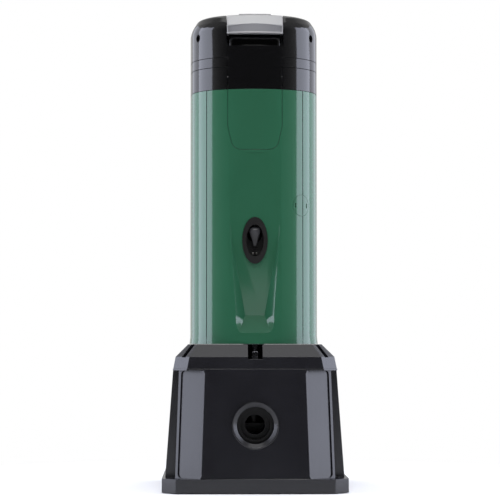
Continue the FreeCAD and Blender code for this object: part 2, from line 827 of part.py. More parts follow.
def dock_deck():
    """The bevelled upper part of the dock, with a mitre slot at each corner and the stud's notch."""
    outer = chamfered_loft("deck_outer", [
        ("step_height", "deck_foot_width", "deck_foot_depth", "dock_chamfer"),
        ("deck_edge_height", "deck_edge_width", "deck_edge_depth", "dock_chamfer"),
        ("deck_top", "deck_top_width", "deck_top_depth", "deck_top_chamfer"),
    ])
    inner = chamfered_loft("deck_inner", [
        ("step_height - 1", "deck_foot_width - 2 * deck_wall", "deck_foot_depth - 2 * deck_wall",
         "dock_chamfer"),
        ("deck_edge_height - deck_wall / 2", "deck_edge_width - 2 * deck_wall",
         "deck_edge_depth - 2 * deck_wall",
         "dock_chamfer"),
        ("deck_underside", "deck_top_width - deck_wall", "deck_top_depth - deck_wall",
         "deck_top_chamfer"),
    ])
    lining = notch_form("notch_lining", "stud_notch_radius + deck_wall", "stud_notch_foot - deck_wall")
    notch = notch_form("stud_notch", "stud_notch_radius", "stud_notch_foot")
    slots = []
    for x, y, angle in (("1", "1", 45), ("-1", "1", 135), ("-1", "-1", 45), ("1", "-1", 135)):
        slot = rounded_prism("mitre_slot", "XY_Plane", "0", "deck_top",
                             ("slot_length", "slot_width", "slot_corner"))
        turn = Rotation(Vector(0, 0, 1), angle)
        place(slot, f"{x} * (deck_top_width / 2 - slot_inset)",
              f"{y} * (deck_top_depth / 2 - slot_inset)", "slot_foot", turn)
        slots.append(slot)
    sockets = [
        rod("socket_hole", "passage_radius + fit_gap", "deck_wall + 2", "0", f"{sign} * spigot_offset",
            "deck_underside - 1")
        for sign in ("-1", "1")
    ]
    return node(cut("dock_deck_cut", outer, cut("deck_hollow", inner, lining), notch, *slots, *sockets),
                "dock_deck")


def dock_base_plate():
    width = "2 * (rib_half - dock_wall - base_plate_gap)"
    depth = "wall_foot_depth - 2 * (pocket_depth + dock_wall + base_plate_gap)"
    return node(chamfered_prism("base_plate", "pad_height", "base_plate_thickness", width, depth,
                                "dock_chamfer"), "dock_base_plate")


def dock_pads():
    pads = [
        rod("pad", "pad_radius", "pad_height", f"{x} * pad_spread_x / 2", f"{y} * pad_spread_y / 2")
        for x in ("-1", "1") for y in ("-1", "1")
    ]
    return node(joined("dock_pads", *pads), "dock_pads")


def pipework():
    """Each port: a rim on the dock's wall, and an elbow from its thread to the socket under the deck."""
    rim = turned("delivery_rim", [
        ("port_rim_bore_radius", "0"), ("port_rim_radius", "0"), ("port_rim_radius", "port_rim_length"),
        ("port_rim_radius - port_lip", "port_rim_length"),
        ("port_rim_bore_radius", "port_rim_length - port_dish"),
    ], "0", "port_rim_length - port_face", "port_height", ALONG["-y"])
    reach = "port_mouth - spigot_offset"
    barrel = f"{reach} - thread_length - socket_wall"
    thread = f"{reach} - thread_length"
    spot = ("0", "-spigot_offset")
    arm = turned("elbow_arm", [
        ("0", "0"), ("arm_bore_radius + arm_wall", "0"), ("arm_bore_radius + arm_wall", barrel),
        ("port_barrel_radius", barrel), ("port_barrel_radius", reach), ("0", reach),
    ], *spot, "port_height", ALONG["-y"])
    bore = turned("elbow_bore", [
        ("0", "0"), ("arm_bore_radius", "0"), ("arm_bore_radius", thread),
        ("thread_radius", thread), ("thread_radius", f"{reach} + 1"), ("0", f"{reach} + 1"),
    ], *spot, "port_height", ALONG["-y"])
    height = "deck_underside - port_height + socket_radius"
    riser = rod("elbow_riser", "socket_radius", height, *spot, "port_height - socket_radius",
                "z, seam aside")
    flange = rod("elbow_flange", "socket_flange_radius", "socket_flange_height", *spot,
                 "deck_underside - socket_flange_height")
    riser_bore = rod("elbow_riser_bore", "passage_radius", "deck_top - port_height", *spot,
                     "port_height", "z, seam aside")
    solid = joined("elbow_solid", joined("elbow_upright", riser, flange), arm)
    elbow = cut("elbow_cut", solid, riser_bore, bore)
    node(rim, "delivery_port_rim")
    node(elbow, "delivery_elbow")
    node(mirrored("suction_rim", rim), "suction_port_rim")
    node(mirrored("suction_elbow_twin", elbow), "suction_elbow")


def check_valve():
    """A sprung poppet that closes downwards on a seat in the suction socket, under the cage that guides it."""
    spot = ("0", "spigot_offset")
    seat = ring("valve_seat", "passage_radius - running_gap", "valve_seat_bore", "valve_seat_thickness",
                *spot, "valve_seat_height")
    node(seat, "check_valve_seat")
    poppet = turned("valve_poppet", [
        ("0", "0"), ("poppet_radius", "0"), ("poppet_radius", "poppet_thickness"),
        ("poppet_stem_radius", "poppet_thickness"), ("poppet_stem_radius", "poppet_stem_length"),
        ("0", "poppet_stem_length"),
    ], *spot, "valve_seat_height + valve_seat_thickness + fit_gap")
    node(poppet, "check_valve_poppet")
    cage = rod("cage_disc", "passage_radius - running_gap", "cage_thickness", *spot, "cage_height")
    middle = "(passage_radius + poppet_stem_radius) / 2"
    holes = [rod("cage_bore", "poppet_stem_radius + running_gap", "cage_thickness + 2", *spot,
                 "cage_height - 1")]
    for turn in (0, 90, 180, 270):
        x, y = f"{middle} * cos({turn} * 1 deg)", f"spigot_offset + {middle} * sin({turn} * 1 deg)"
        holes.append(rod("cage_port", "cage_port_radius", "cage_thickness + 2", x, y, "cage_height - 1"))
    node(cut("valve_cage", cage, *holes), "check_valve_cage")
    spring_foot = "valve_seat_height + valve_seat_thickness + poppet_thickness + 2 * fit_gap"
    spring = ring("valve_spring", "spring_radius", "spring_radius - spring_wire",
                  f"cage_height - fit_gap - ({spring_foot})",
                  *spot, spring_foot)
    node(spring, "check_valve_spring")


def locking_stud():
    """The stud in the notch at the back: a six-sided head, a neck, and a pin that goes up into the pump."""
    foot = "stud_notch_foot + fit_gap"
    stem = turned("stud_stem", [
        ("0", "0"), ("stud_neck_radius", "0"),
        ("stud_neck_radius", "deck_top - stud_notch_foot - 2 * fit_gap"),
        ("stud_pin_radius", "deck_top - stud_notch_foot - 2 * fit_gap"),
        ("stud_pin_radius", "deck_top - stud_notch_foot + stud_pin_length"),
        ("0", "deck_top - stud_notch_foot + stud_pin_length"),
    ], "0", "-stud_y", foot)
    head = doc.addObject("Part::Prism", "stud_head")
    head.Polygon = 6
    head.setExpression("Circumradius", bound("stud_head_radius"))
    head.setExpression("Height", bound("stud_head_height"))
    place(head, "0", "-stud_y", foot)
    node(joined("stud", stem, head), "locking_stud")


# ---------------------------------------------------------------- the covers


def recess(name, grow, lift):
    """The sculpted recess in the rear cover as a solid: trapezoids that narrow and deepen downwards."""
    body = new_body(name)
    grow, lift = f"({grow})", f"({lift})"
    sketches = []
    for level in ("top", "mid", "low", "end"):
        half, floor, depth = f"recess_{level}_half", f"recess_{level}_floor_half", f"recess_{level}_depth"
        lifts = {"top": f" + {lift}", "end": f" - {lift}"}
        height = f"recess_{level}" + lifts.get(level, "")
        mouth = f"({half} + ({half} - {floor}) * recess_lead / {depth} + {grow})"
        back = f"(body_depth / 2 - {depth} - {grow})"
        front = "(body_depth / 2 + recess_lead)"
        sketch = sketch_on(body, "XY_Plane", f"{name}_{level}", height)
        polygon(sketch, [
            (f"-{mouth}", f"-{front}"), (mouth, f"-{front}"),
            (f"{floor} + {grow}", f"-{back}"), (f"-({floor} + {grow})", f"-{back}"),
        ])
        sketches.append(sketch)
    return loft(body, sketches)


def oval(name, width, height, length, y, z):
    """An upright elliptic prism that runs along Y from y."""
    outline = doc.addObject("Part::Ellipse", f"{name}_outline")
    outline.setExpression("MajorRadius", bound(f"({height}) / 2"))
    outline.setExpression("MinorRadius", bound(f"({width}) / 2"))
    long_axis_upright = Rotation(Vector(1, 1, 1), -120)
    place(outline, "0", y, z, long_axis_upright)
    prism = doc.addObject("Part::Extrusion", name)
    prism.Base = outline
    prism.DirMode = "Custom"
    prism.Dir = Vector(0, 1, 0)
    prism.Solid = True
    prism.setExpression("LengthFwd", bound(length))
    return prism


def spine_outline(sketch, inset, top):
    """The hatch's outline, moved inwards by inset: its sides taper near the foot into round corners."""
    half = f"(spine_half - ({inset}))"
    foot_half = f"(spine_foot_half - ({inset}))"
    foot = f"(hatch_foot + ({inset}))"
    corner = f"(spine_corner - ({inset}))"
    bend = "(hatch_foot + spine_taper_height)"
    w, n, z0, r, z1, z2 = (size(text) for text in (half, foot_half, foot, corner, bend, top))
    quarter = math.pi / 2
    pieces = (
        Part.LineSegment(Vector(r - n, z0), Vector(n - r, z0)),
        arc_at(Vector(n - r, z0 + r), r, -quarter, 0),
        Part.LineSegment(Vector(n, z0 + r), Vector(w, z1)),
        Part.LineSegment(Vector(w, z1), Vector(w, z2)),
        Part.LineSegment(Vector(w, z2), Vector(-w, z2)),
        Part.LineSegment(Vector(-w, z2), Vector(-w, z1)),
        Part.LineSegment(Vector(-w, z1), Vector(-n, z0 + r)),
        arc_at(Vector(r - n, z0 + r), r, 2 * quarter, 3 * quarter),
    )
    for piece in pieces:
        sketch.addGeometry(piece)
    start, end = 1, 2
    arcs = [index for index, piece in enumerate(pieces) if isinstance(piece, Part.ArcOfCircle)]
    for index in range(len(pieces)):
        following = (index + 1) % len(pieces)
        joint = "Tangent" if index in arcs or following in arcs else "Coincident"
        sketch.addConstraint(Sketcher.Constraint(joint, index, end, following, start))
    for index in (0, 4):
        sketch.addConstraint(Sketcher.Constraint("Horizontal", index))
    for index in (3, 5):
        sketch.addConstraint(Sketcher.Constraint("Vertical", index))
    for index in arcs:
        radius_of(sketch, index, corner)
    for index, kind, point, text in (
        (0, "DistanceY", start, foot), (4, "DistanceY", start, top),
        (3, "DistanceX", start, half), (3, "DistanceY", start, bend), (2, "DistanceX", start, foot_half),
        (5, "DistanceX", end, f"-{half}"), (5, "DistanceY", end, bend),
        (6, "DistanceX", end, f"-{foot_half}"),
    ):
        hold(sketch, kind, index, point, text)


def spine_block(name, inset, top):
    """The hatch's outline as a solid, through the back of the pump only, up to top."""
    body = new_body(name)
    sketch = sketch_on(body, "XZ_Plane", f"{name}_outline", "back_zone")
    spine_outline(sketch, inset, top)
    return pad(body, sketch, f"{BIG} / 2")


def covers():
    """The green covers: one round the front and sides, and one across the back with the sculpted recess."""
    skin = body_loft("cover_skin", [
        ("cover_foot", "-flare_out"), ("cover_foot + flare_height", "0"), ("cover_top", "0"),
    ])
    void = body_prism("cover_void", "cover_wall", "cover_foot - 1", "cover_top - cover_foot + 2")
    rear_zone = back_block("rear_zone", "seam_half", "0", BIG)
    rear_zone_wide = back_block("rear_zone_wide", "seam_half + seam_gap", "0", BIG)
    cap_x, cap_y = corner_spot("cap_turn", "0")
    cap_hole = rod("cap_hole", "cap_radius + seam_gap / 2", "2 * corner_radius")
    place(cap_hole, cap_x, cap_y, "cap_height", facing("cap_turn"))
    shell = cut("cover_shell", skin, void)
    node(cut("wrap_cover_cut", shell, rear_zone_wide, cap_hole), "wrap_cover")

    rear_void = cut("rear_void", void, recess("recess_lining", "cover_wall", "cover_wall"))
    rear_blank = cut("rear_blank", shared("rear_solid", skin, rear_zone), rear_void)
    window = spine_block("hatch_window", "0", "head_foot + 1")
    oval_hole = oval("oval_hole", "outlet_width - 2 * outlet_lip", "outlet_length - 2 * outlet_lip",
                        "body_depth", "-body_depth", "outlet_height")
    carved = cut("rear_carved", rear_blank, recess("recess_carving", "0", "0"), window, cap_hole)
    seat_y = "recess_mid_depth + fit_gap - body_depth / 2"
    seat = oval("outlet_seat", "outlet_width + 2 * outlet_seat_wall",
                "outlet_length + 2 * outlet_seat_wall",
                   "outlet_seat_depth", seat_y, "outlet_height")
    flange_space = oval("outlet_flange_space", "outlet_width + 2 * fit_gap",
                        "outlet_length + 2 * fit_gap",
                           f"body_depth + {seat_y}", "-body_depth", "outlet_height")
    node(cut("rear_cover_cut", joined("rear_seated", carved, seat), flange_space, oval_hole),
         "rear_cover")

    panel = spine_block("hatch_block", "seam_gap", "cover_top")
    node(shared("hatch", shell, panel), "service_hatch")

    frame_outer = body_prism("frame_outer", "cover_wall + fit_gap", "hatch_foot - 40",
                             "cover_top - hatch_foot + 40")
    frame_inner = body_prism("frame_inner", "cover_wall + fit_gap + hatch_frame_wall", "hatch_foot - 50",
                             "cover_top - hatch_foot + 60")
    around = spine_block("frame_block", "-hatch_frame_lip", "cover_top")
    through = spine_block("frame_window", "hatch_frame_lip", "cover_top - hatch_frame_lip")
    frame = shared("frame_ring", cut("frame_shell", frame_outer, frame_inner), around)
    lining_space = recess("lining_space", "cover_wall + fit_gap", "cover_wall + fit_gap")
    node(cut("hatch_frame_cut", frame, through, lining_space), "hatch_frame")


def cable_outlet():
    """The oval outlet in the recess: a black cup with a thick rim, and in it a gland and two screws."""
    floor_y = "-(body_depth / 2 - recess_mid_depth) - outlet_proud"
    inner_width = "outlet_width - 2 * outlet_rim"
    inner_length = "outlet_length - 2 * outlet_top_rim"
    inner_y = f"{floor_y} - 1"
    flange = oval("outlet_flange", "outlet_width", "outlet_length", "outlet_proud", floor_y,
                  "outlet_height")
    cup = oval("outlet_cup", "outlet_width - 2 * outlet_lip - 2 * fit_gap",
               "outlet_length - 2 * outlet_lip - 2 * fit_gap",
                  "outlet_depth", f"{floor_y} + outlet_proud / 2", "outlet_height")
    hollow = oval("outlet_hollow", inner_width, inner_length, "outlet_depth - outlet_floor", inner_y,
                  "outlet_height")
    gland_z = "outlet_height + gland_rise"
    floor_face = f"{floor_y} + outlet_depth - outlet_floor - 1"
    bore = rod("outlet_bore", "gland_bore_radius + fit_gap", "outlet_depth", "0", f"{floor_face} - 1", gland_z, "y")
    node(cut("outlet_cut", joined("outlet_solid", flange, cup), hollow, bore), "cable_outlet")
    gland = turned("gland_profile", [
        ("gland_bore_radius", "0"), ("gland_radius", "0"), ("gland_tip_radius", "gland_length"),
        ("gland_bore_radius", "gland_length"),
    ], "0", floor_face, gland_z, ALONG["-y"])
    node(gland, "cable_gland")
    screws = [
        rod("gland_screw", "gland_screw_radius", "gland_screw_head", f"{sign} * gland_screw_spread",
            floor_face,
            "outlet_height - gland_screw_drop", "-y")
        for sign in ("-1", "1")
    ]
    node(joined("gland_screws", *screws), "gland_screws")


def service_cap():
    """The round cap on the right-hand seam, with two slots for a key, and the seat ring behind it."""
    turn = facing("cap_turn")
    face = "corner_radius - cap_face"
    foot = f"{face} - cap_stem_length"
    x, y = corner_spot("cap_turn", foot)
    cap = turned("cap_solid", [
        ("0", "0"), ("cap_stem_radius", "0"), ("cap_stem_radius", "cap_stem_length"),
        ("cap_radius", "cap_stem_length"),
        ("cap_radius", "cap_stem_length + cap_face"), ("0", "cap_stem_length + cap_face"),
    ], x, y, "cap_height", turn)
    slots = []
    for sign in ("-1", "1"):
        along = f"{sign} * cap_slot_reach"
        slot = doc.addObject("Part::Box", "cap_slot")
        slot.setExpression("Length", bound("cap_slot_width"))
        slot.setExpression("Width", bound("cap_face"))
        slot.setExpression("Height", bound("cap_slot_length"))
        bottom = "corner_radius * cos(asin(cap_slot_reach / corner_radius)) - cap_slot_depth"
        bottom_x, bottom_y = corner_spot("cap_turn", f"{bottom} + cap_face")
        place(slot, f"{bottom_x} + ({along} - cap_slot_width / 2) * cos(cap_turn * 1 deg)",
              f"{bottom_y} + ({along} - cap_slot_width / 2) * sin(cap_turn * 1 deg)",
              "cap_height - cap_slot_length / 2", Rotation(Vector(0, 0, 1), size("cap_turn")))
        slots.append(slot)
    skin = body_prism("cap_skin", "0", "cap_height - 2 * cap_radius", "4 * cap_radius")
    seam = block("cap_seam", "seam_gap", "body_depth", "4 * cap_radius", "seam_half + seam_gap / 2",
                 "-body_depth / 2",
                 "cap_height - 2 * cap_radius")
    under_seam = body_prism("cap_under_seam", "cap_groove_depth", "cap_height - 2 * cap_radius",
                            "4 * cap_radius")
    groove = cut("cap_groove", seam, under_seam)
    node(cut("cap_cut", shared("cap_flush", cap, skin), groove, *slots), "service_cap")
    seat_length = "cap_stem_length - fit_gap"
    seat_x, seat_y = corner_spot("cap_turn", f"corner_radius - cover_wall - 2 - ({seat_length})")
    seat = ring("cap_seat", "cap_seat_radius", "cap_stem_radius + running_gap", seat_length,
                seat_x, seat_y, "cap_height", turn)
    inside = body_prism("cap_seat_limit", "cover_wall + fit_gap", "cap_height - 2 * cap_seat_radius",
                        "4 * cap_seat_radius")
    node(shared("cap_seat_trimmed", seat, inside), "service_cap_seat")


# ---------------------------------------------------------------- the head


def crown_form(name, lift="0"):
    """The head's outer form, from its foot through the bevel to the shallow dome."""
    return body_loft(name, [
        (f"head_foot + {lift}", "0"), (f"crown_shoulder + {lift}", "0"),
        (f"bevel_top + {lift}", "bevel_inset"),
        (f"dome_edge + {lift}", "bevel_inset + dome_edge_inset"),
        (f"dome_mid + {lift}", "bevel_inset + dome_edge_inset + dome_mid_inset"),
        (f"dome_top + {lift}", "bevel_inset + dome_edge_inset + dome_mid_inset + dome_top_inset"),
    ])


def slab(name, foot, top):
    return block(name, BIG, BIG, f"({top}) - ({foot})", "0", "0", foot)


def back_block(name, half, foot, top, back=f"{BIG} / 2", front="-back_zone"):
    """A block across the back of the pump, between two heights and from y = -back to y = front."""
    depth = f"({back}) + ({front})"
    return block(name, f"2 * ({half})", depth, f"({top}) - ({foot})", "0", f"({front}) - ({depth}) / 2",
                 foot)


def head():
    """The two bands, the crown with the display's channel and finger recess, and the panel down its back."""
    form = crown_form("head_form")
    channel_half = "module_half + seam_gap"
    channel_end = "pivot_y + pivot_radius + seam_gap"
    void = body_loft("head_void", [
        ("head_foot - 1", "head_wall"), ("crown_shoulder - head_wall / 2", "head_wall"),
        ("bevel_top - head_wall", "bevel_inset + head_wall"),
        ("dome_mid - head_wall", "bevel_inset + dome_edge_inset + dome_mid_inset"),
    ])
    housing = back_block("channel_housing", f"{channel_half} + head_wall", "grip_foot - head_wall", BIG,
                         front=f"{channel_end} + head_wall")
    shell = cut("head_shell", form, cut("head_hollow", void, housing))
    window = back_block("spine_window", "spine_half", "head_foot - 1", "grip_foot")
    lower = shared("lower_band_ring", shell, slab("lower_zone", "head_foot",
                                                  "lower_band_top - seam_gap / 2"))
    node(cut("lower_band_cut", lower, window), "head_lower_band")
    middle = shared("middle_band_ring", shell, slab("middle_zone", "lower_band_top + seam_gap / 2",
                                                    "middle_band_top - seam_gap / 2"))
    node(cut("middle_band_cut", middle, window), "head_middle_band")
    crown = shared("crown_blank", shell, slab("crown_zone", "middle_band_top + seam_gap / 2", BIG))
    channel = back_block("channel", channel_half, "module_foot - seam_gap", BIG, front=channel_end)
    grip_reach = "body_depth / 2 + 60"
    grip = rounded_prism("grip", "XY_Plane", "grip_foot", "module_foot - grip_foot",
                         (f"2 * ({channel_half})", grip_reach, "grip_corner", "0",
                          f"grip_depth - body_depth / 2 - ({grip_reach}) / 2"))
    pin_bore = rod("pin_bore", "pivot_pin_radius + running_gap", BIG, f"-{BIG} / 2", "pivot_y",
                   "pivot_z", "x")
    bosses = []
    bores = []
    screws = []
    shank = "head_screw_radius / 2"
    for side, sign, turn in (("right", "1", "head_screw_turn"), ("left", "-1", "-head_screw_turn")):
        recess_floor = "corner_radius - head_screw_recess_depth"
        shank_end = f"{recess_floor} - head_screw_length"
        drills = (
            ("boss", "head_screw_recess_radius + head_screw_boss_wall",
             f"{shank_end} - head_screw_boss_wall"),
            ("bore", shank, shank_end),
            ("recess", "head_screw_recess_radius", recess_floor),
        )
        for kind, radius, start in drills:
            x, y = corner_spot("head_screw_turn", start)
            tool = rod(f"screw_{kind}_{side}", radius, "corner_radius")
            place(tool, f"{sign} * ({x})", y, "head_screw_height", facing(turn))
            (bosses if kind == "boss" else bores).append(tool)
        screw = turned(f"screw_{side}", [
            ("0", "0"), (f"{shank} - running_gap", "0"), (f"{shank} - running_gap", "head_screw_length"),
            ("head_screw_radius", "head_screw_length"),
            ("head_screw_radius", "head_screw_length + head_screw_head"),
            ("0", "head_screw_length + head_screw_head"),
        ])
        x, y = corner_spot("head_screw_turn", shank_end)
        screws.append(place(screw, f"{sign} * ({x})", y, "head_screw_height", facing(turn)))
    bossed = joined("crown_bossed", crown, shared("screw_bosses", form,
                                                  joined("screw_boss_pair", *bosses)))
    node(cut("crown_cut", bossed, window, channel, grip, pin_bore, *bores), "head_crown")
    node(joined("head_screws", *screws), "head_screws")
    panel_zone = back_block("panel_zone", "spine_half - seam_gap", "head_foot", "grip_foot - seam_gap")
    node(shared("spine_panel_cut", shell, panel_zone), "spine_panel")
    node(rod("pivot_pin", "pivot_pin_radius", f"2 * ({channel_half} + head_wall)",
             f"-({channel_half}) - head_wall",
             "pivot_y", "pivot_z", "x"), "display_pivot_pin")
    return form


def display_module(form):
    """The silver module that fills the channel, with a raised bezel, a lens, a screen and a row of keys."""
    raised = crown_form("raised_form", "bezel_rise")
    bar = shared("module_bar", form, back_block("module_zone", "module_half", "module_foot", BIG,
                                                front="pivot_y"))
    barrel = rod("module_barrel", "pivot_radius", "2 * module_half", "-module_half", "pivot_y",
                 "pivot_z", "x")
    heel_depth = "pivot_radius + module_heel_gap"
    heel = block("module_heel", BIG, heel_depth, "pivot_z - pivot_radius - module_foot",
                 "0", f"pivot_y - ({heel_depth}) / 2", "module_foot")
    pocket_front = "(pivot_y - 2 * pivot_radius)"
    pocket_back = "(body_depth / 2 - module_end_wall)"
    pocket = block("module_pocket", "2 * (module_half - module_wall)", f"{pocket_front} + {pocket_back}",
                   "dome_top - module_top_wall - module_foot", "0",
                   f"({pocket_front} - {pocket_back}) / 2", "module_foot")
    band_skin = body_prism("band_skin", "module_band_depth", "module_foot", "dome_top - module_foot")
    band_top = "module_band_foot + module_band_height"
    band_block = back_block("band_block", "module_band_half", "module_band_foot", band_top)
    band_bow = rod("band_bow", "band_bow_radius", BIG, "0", f"-{BIG}", f"{band_top} - band_bow_radius",
                   "y")
    band = cut("band_cutter", shared("band_zone", band_block, band_bow), band_skin)
    pin_bore = rod("module_pin_bore", "pivot_pin_radius + running_gap", BIG, f"-{BIG} / 2", "pivot_y",
                   "pivot_z", "x")
    lens_y = "bezel_front - bezel_wall - lens_length / 2"
    lens_half = "bezel_half - bezel_wall"
    screen_half = f"({lens_half} - screen_margin)"
    screen_length = "lens_length - 2 * screen_margin"
    screen_pocket = block("screen_pocket", f"2 * {screen_half}", screen_length, "2 * screen_thickness",
                          "0", lens_y, "dome_top - screen_thickness")
    key_wells = []
    keys = []
    for index in range(SIZES["key_count"]):
        x = f"({index} - (key_count - 1) / 2) * key_pitch"
        key_wells.append(rod("key_well", "key_radius + key_gap", "2 * key_height", x, "-key_row",
                             "key_foot - key_travel - fit_gap"))
        keys.append(turned(f"key_{index}", [
            ("0", "0"), ("key_radius", "0"), ("key_radius", "key_height - key_rise"),
            ("key_radius - key_round", "key_height"), ("0", "key_height"),
        ], x, "-key_row", "key_foot"))
    frame = cut("module_cut", joined("module_solid", cut("module_bar_cut", bar, heel), barrel), pocket,
                band, pin_bore,
                screen_pocket, *key_wells)
    node(frame, "display_module")
    bezel_zone = back_block("bezel_zone", "bezel_half", "module_foot", BIG, "bezel_back", "bezel_front")
    bezel = cut("bezel_blank", shared("bezel_raised", raised, bezel_zone), form)
    lens_window = block("lens_window", f"2 * ({lens_half})", "lens_length", "4 * bezel_rise", "0", lens_y,
                        "dome_top - 2 * bezel_rise")
    node(cut("bezel_cut", bezel, lens_window, *key_wells), "display_bezel")
    node(block("screen", f"2 * ({screen_half} - fit_gap)", f"{screen_length} - 2 * fit_gap",
               "screen_thickness",
               "0", lens_y, "dome_top - screen_thickness"), "display_screen")
    node(block("lens", f"2 * ({lens_half} - fit_gap)", "lens_length - 2 * fit_gap", "bezel_rise", "0",
               lens_y, "dome_top"),
         "display_lens")
    for index, key in enumerate(keys, start=1):
        node(key, f"display_key_{index}")


# ---------------------------------------------------------------- the pump unit's inside


def chassis():
    """The cast floor of the pump unit, and the two spigots that plug into the dock."""
    plate = body_prism("chassis_plate", "cover_wall + fit_gap", "chassis_foot", "chassis_thickness")
    holes = [
        rod("spigot_hole", "spigot_radius", "chassis_thickness + 2", "0", f"{sign} * spigot_offset",
            "chassis_foot - 1")
        for sign in ("-1", "1")
    ]
    stud_bore = rod("stud_bore", "stud_pin_radius + 2 * running_gap", "chassis_thickness + 2", "0",
                    "-stud_y", "chassis_foot - 1")
    node(cut("chassis_cut", plate, *holes, stud_bore), "chassis")
    for name, sign in (("delivery", "-1"), ("suction", "1")):
        spigot = turned(f"{name}_spigot_solid", [
            ("spigot_radius - spigot_wall", "0"), ("spigot_radius", "0"), ("spigot_radius", "seal_lift"),
            ("spigot_radius - seal_depth", "seal_lift"),
            ("spigot_radius - seal_depth", "seal_lift + seal_width"),
            ("spigot_radius", "seal_lift + seal_width"),
            ("spigot_radius", "spigot_reach + chassis_thickness"),
            ("spigot_radius - spigot_wall", "spigot_reach + chassis_thickness"),
        ], "0", f"{sign} * spigot_offset", "chassis_foot - spigot_reach")
        node(spigot, f"{name}_spigot")
    seals = [
        ring(f"spigot_seal_{end}", "spigot_radius", "spigot_radius - seal_depth", "seal_width",
             "0", f"{sign} * spigot_offset", "chassis_foot - spigot_reach + seal_lift")
        for end, sign in (("back", "-1"), ("front", "1"))
    ]
    node(joined("spigot_seals", *seals), "spigot_seals")


def water_end():
    """The stainless casing with its stack of stages, and the seal above them."""
    foot = "chassis_top"
    casing = turned("casing_profile", [
        ("0", "0"), ("casing_flange_radius", "0"), ("casing_flange_radius", "casing_flange_thickness"),
        ("casing_radius", "casing_flange_thickness"), ("casing_radius", f"casing_top - {foot}"),
        ("casing_radius - casing_wall", f"casing_top - {foot}"),
        ("casing_radius - casing_wall", "casing_flange_thickness"),
        ("0", "casing_flange_thickness"),
    ], "0", "0", foot)
    ports = [
        rod("casing_port", "spigot_radius - spigot_wall", "casing_flange_thickness + 2", "0",
            f"{sign} * casing_port_offset",
            f"{foot} - 1")
        for sign in ("-1", "1")
    ]
    node(cut("casing_cut", casing, *ports), "pump_casing")
    impellers = []
    diffusers = []
    for index in range(SIZES["stage_count"]):
        stage = f"first_stage + {index} * stage_pitch"
        impellers.append(turned(f"impeller_{index}", [
            ("shaft_radius", "0"), ("impeller_eye_radius", "0"),
            ("impeller_radius", "impeller_thickness - impeller_rim"),
            ("impeller_radius", "impeller_thickness"), ("shaft_radius", "impeller_thickness"),
        ], "0", "0", stage))
        above = f"{stage} + impeller_thickness + stage_gap"
        diffusers.append(ring(f"diffuser_{index}", "casing_radius - casing_wall", "diffuser_bore_radius",
                              "diffuser_thickness", "0", "0", above))
    node(joined("impellers", *impellers), "impellers")
    node(joined("diffusers", *diffusers), "diffusers")


def motor():
    """The motor above the casing: bracket, finned shell, stator, rotor, shaft and its bearings."""
    bracket = ring("bracket", "bracket_radius", "shaft_radius + bracket_clearance", "bracket_thickness",
                   "0", "0", "casing_top")
    node(bracket, "motor_bracket")
    seal = ring("mech_seal", "seal_radius", "shaft_radius + running_gap", "mech_seal_height",
                "0", "0", "casing_top - mech_seal_height")
    node(seal, "shaft_seal")
    inner = "motor_radius - motor_wall"
    shell = ring("motor_shell", "motor_radius", inner, "motor_height - motor_wall", "0", "0",
                 "motor_foot")
    node(shell, "motor_shell")
    lid = ring("motor_lid", "motor_radius", "bearing_radius + running_gap", "motor_wall", "0", "0",
               "motor_top - motor_wall")
    carrier = ring("motor_carrier", "bearing_radius + motor_wall", "bearing_radius + running_gap",
                   "bearing_height - motor_wall",
                   "0", "0", "motor_top - bearing_height")
    node(joined("motor_cap", lid, carrier), "motor_cap")
    node(ring("stator_ring", inner, "stator_bore_radius", "stator_height", "0", "0", "stator_foot"),
         "motor_stator")
    node(ring("rotor_ring", "rotor_radius", "shaft_radius", "stator_height", "0", "0", "stator_foot"),
         "motor_rotor")
    node(rod("shaft", "shaft_radius", "motor_top - shaft_top_gap - first_stage + shaft_tail", "0", "0",
             "first_stage - shaft_tail"), "pump_shaft")
    hub = "shaft_radius + running_gap"
    node(ring("upper_bearing_ring", "bearing_radius", hub, "bearing_height", "0", "0",
              "motor_top - bearing_height"),
         "upper_bearing")
    node(ring("lower_bearing_ring", "bearing_radius", hub, "bearing_height", "0", "0", "motor_foot"),
         "lower_bearing")


def vessel():
    """The expansion vessel behind the service cap, with its air valve, and the pressure sensor."""
    x, y = corner_spot("vessel_turn", "vessel_offset")
    tank = turned("vessel_profile", [
        ("0", "0"), ("vessel_radius - vessel_foot_bevel", "0"), ("vessel_radius", "vessel_foot_bevel"),
        ("vessel_radius", "vessel_height - vessel_crown_rise"),
        ("vessel_radius - vessel_crown_inset", "vessel_height"),
        ("0", "vessel_height"),
    ], x, y, "chassis_top")
    node(tank, "expansion_vessel")
    valve_foot = "chassis_top + vessel_height"
    node(rod("vessel_valve", "valve_radius", "valve_length", x, y, valve_foot), "vessel_air_valve")
    sensor_x = "-(casing_flange_radius + sensor_gap)"
    node(rod("sensor", "sensor_radius", "sensor_height", sensor_x, "-sensor_back", "chassis_top"),
         "pressure_sensor")


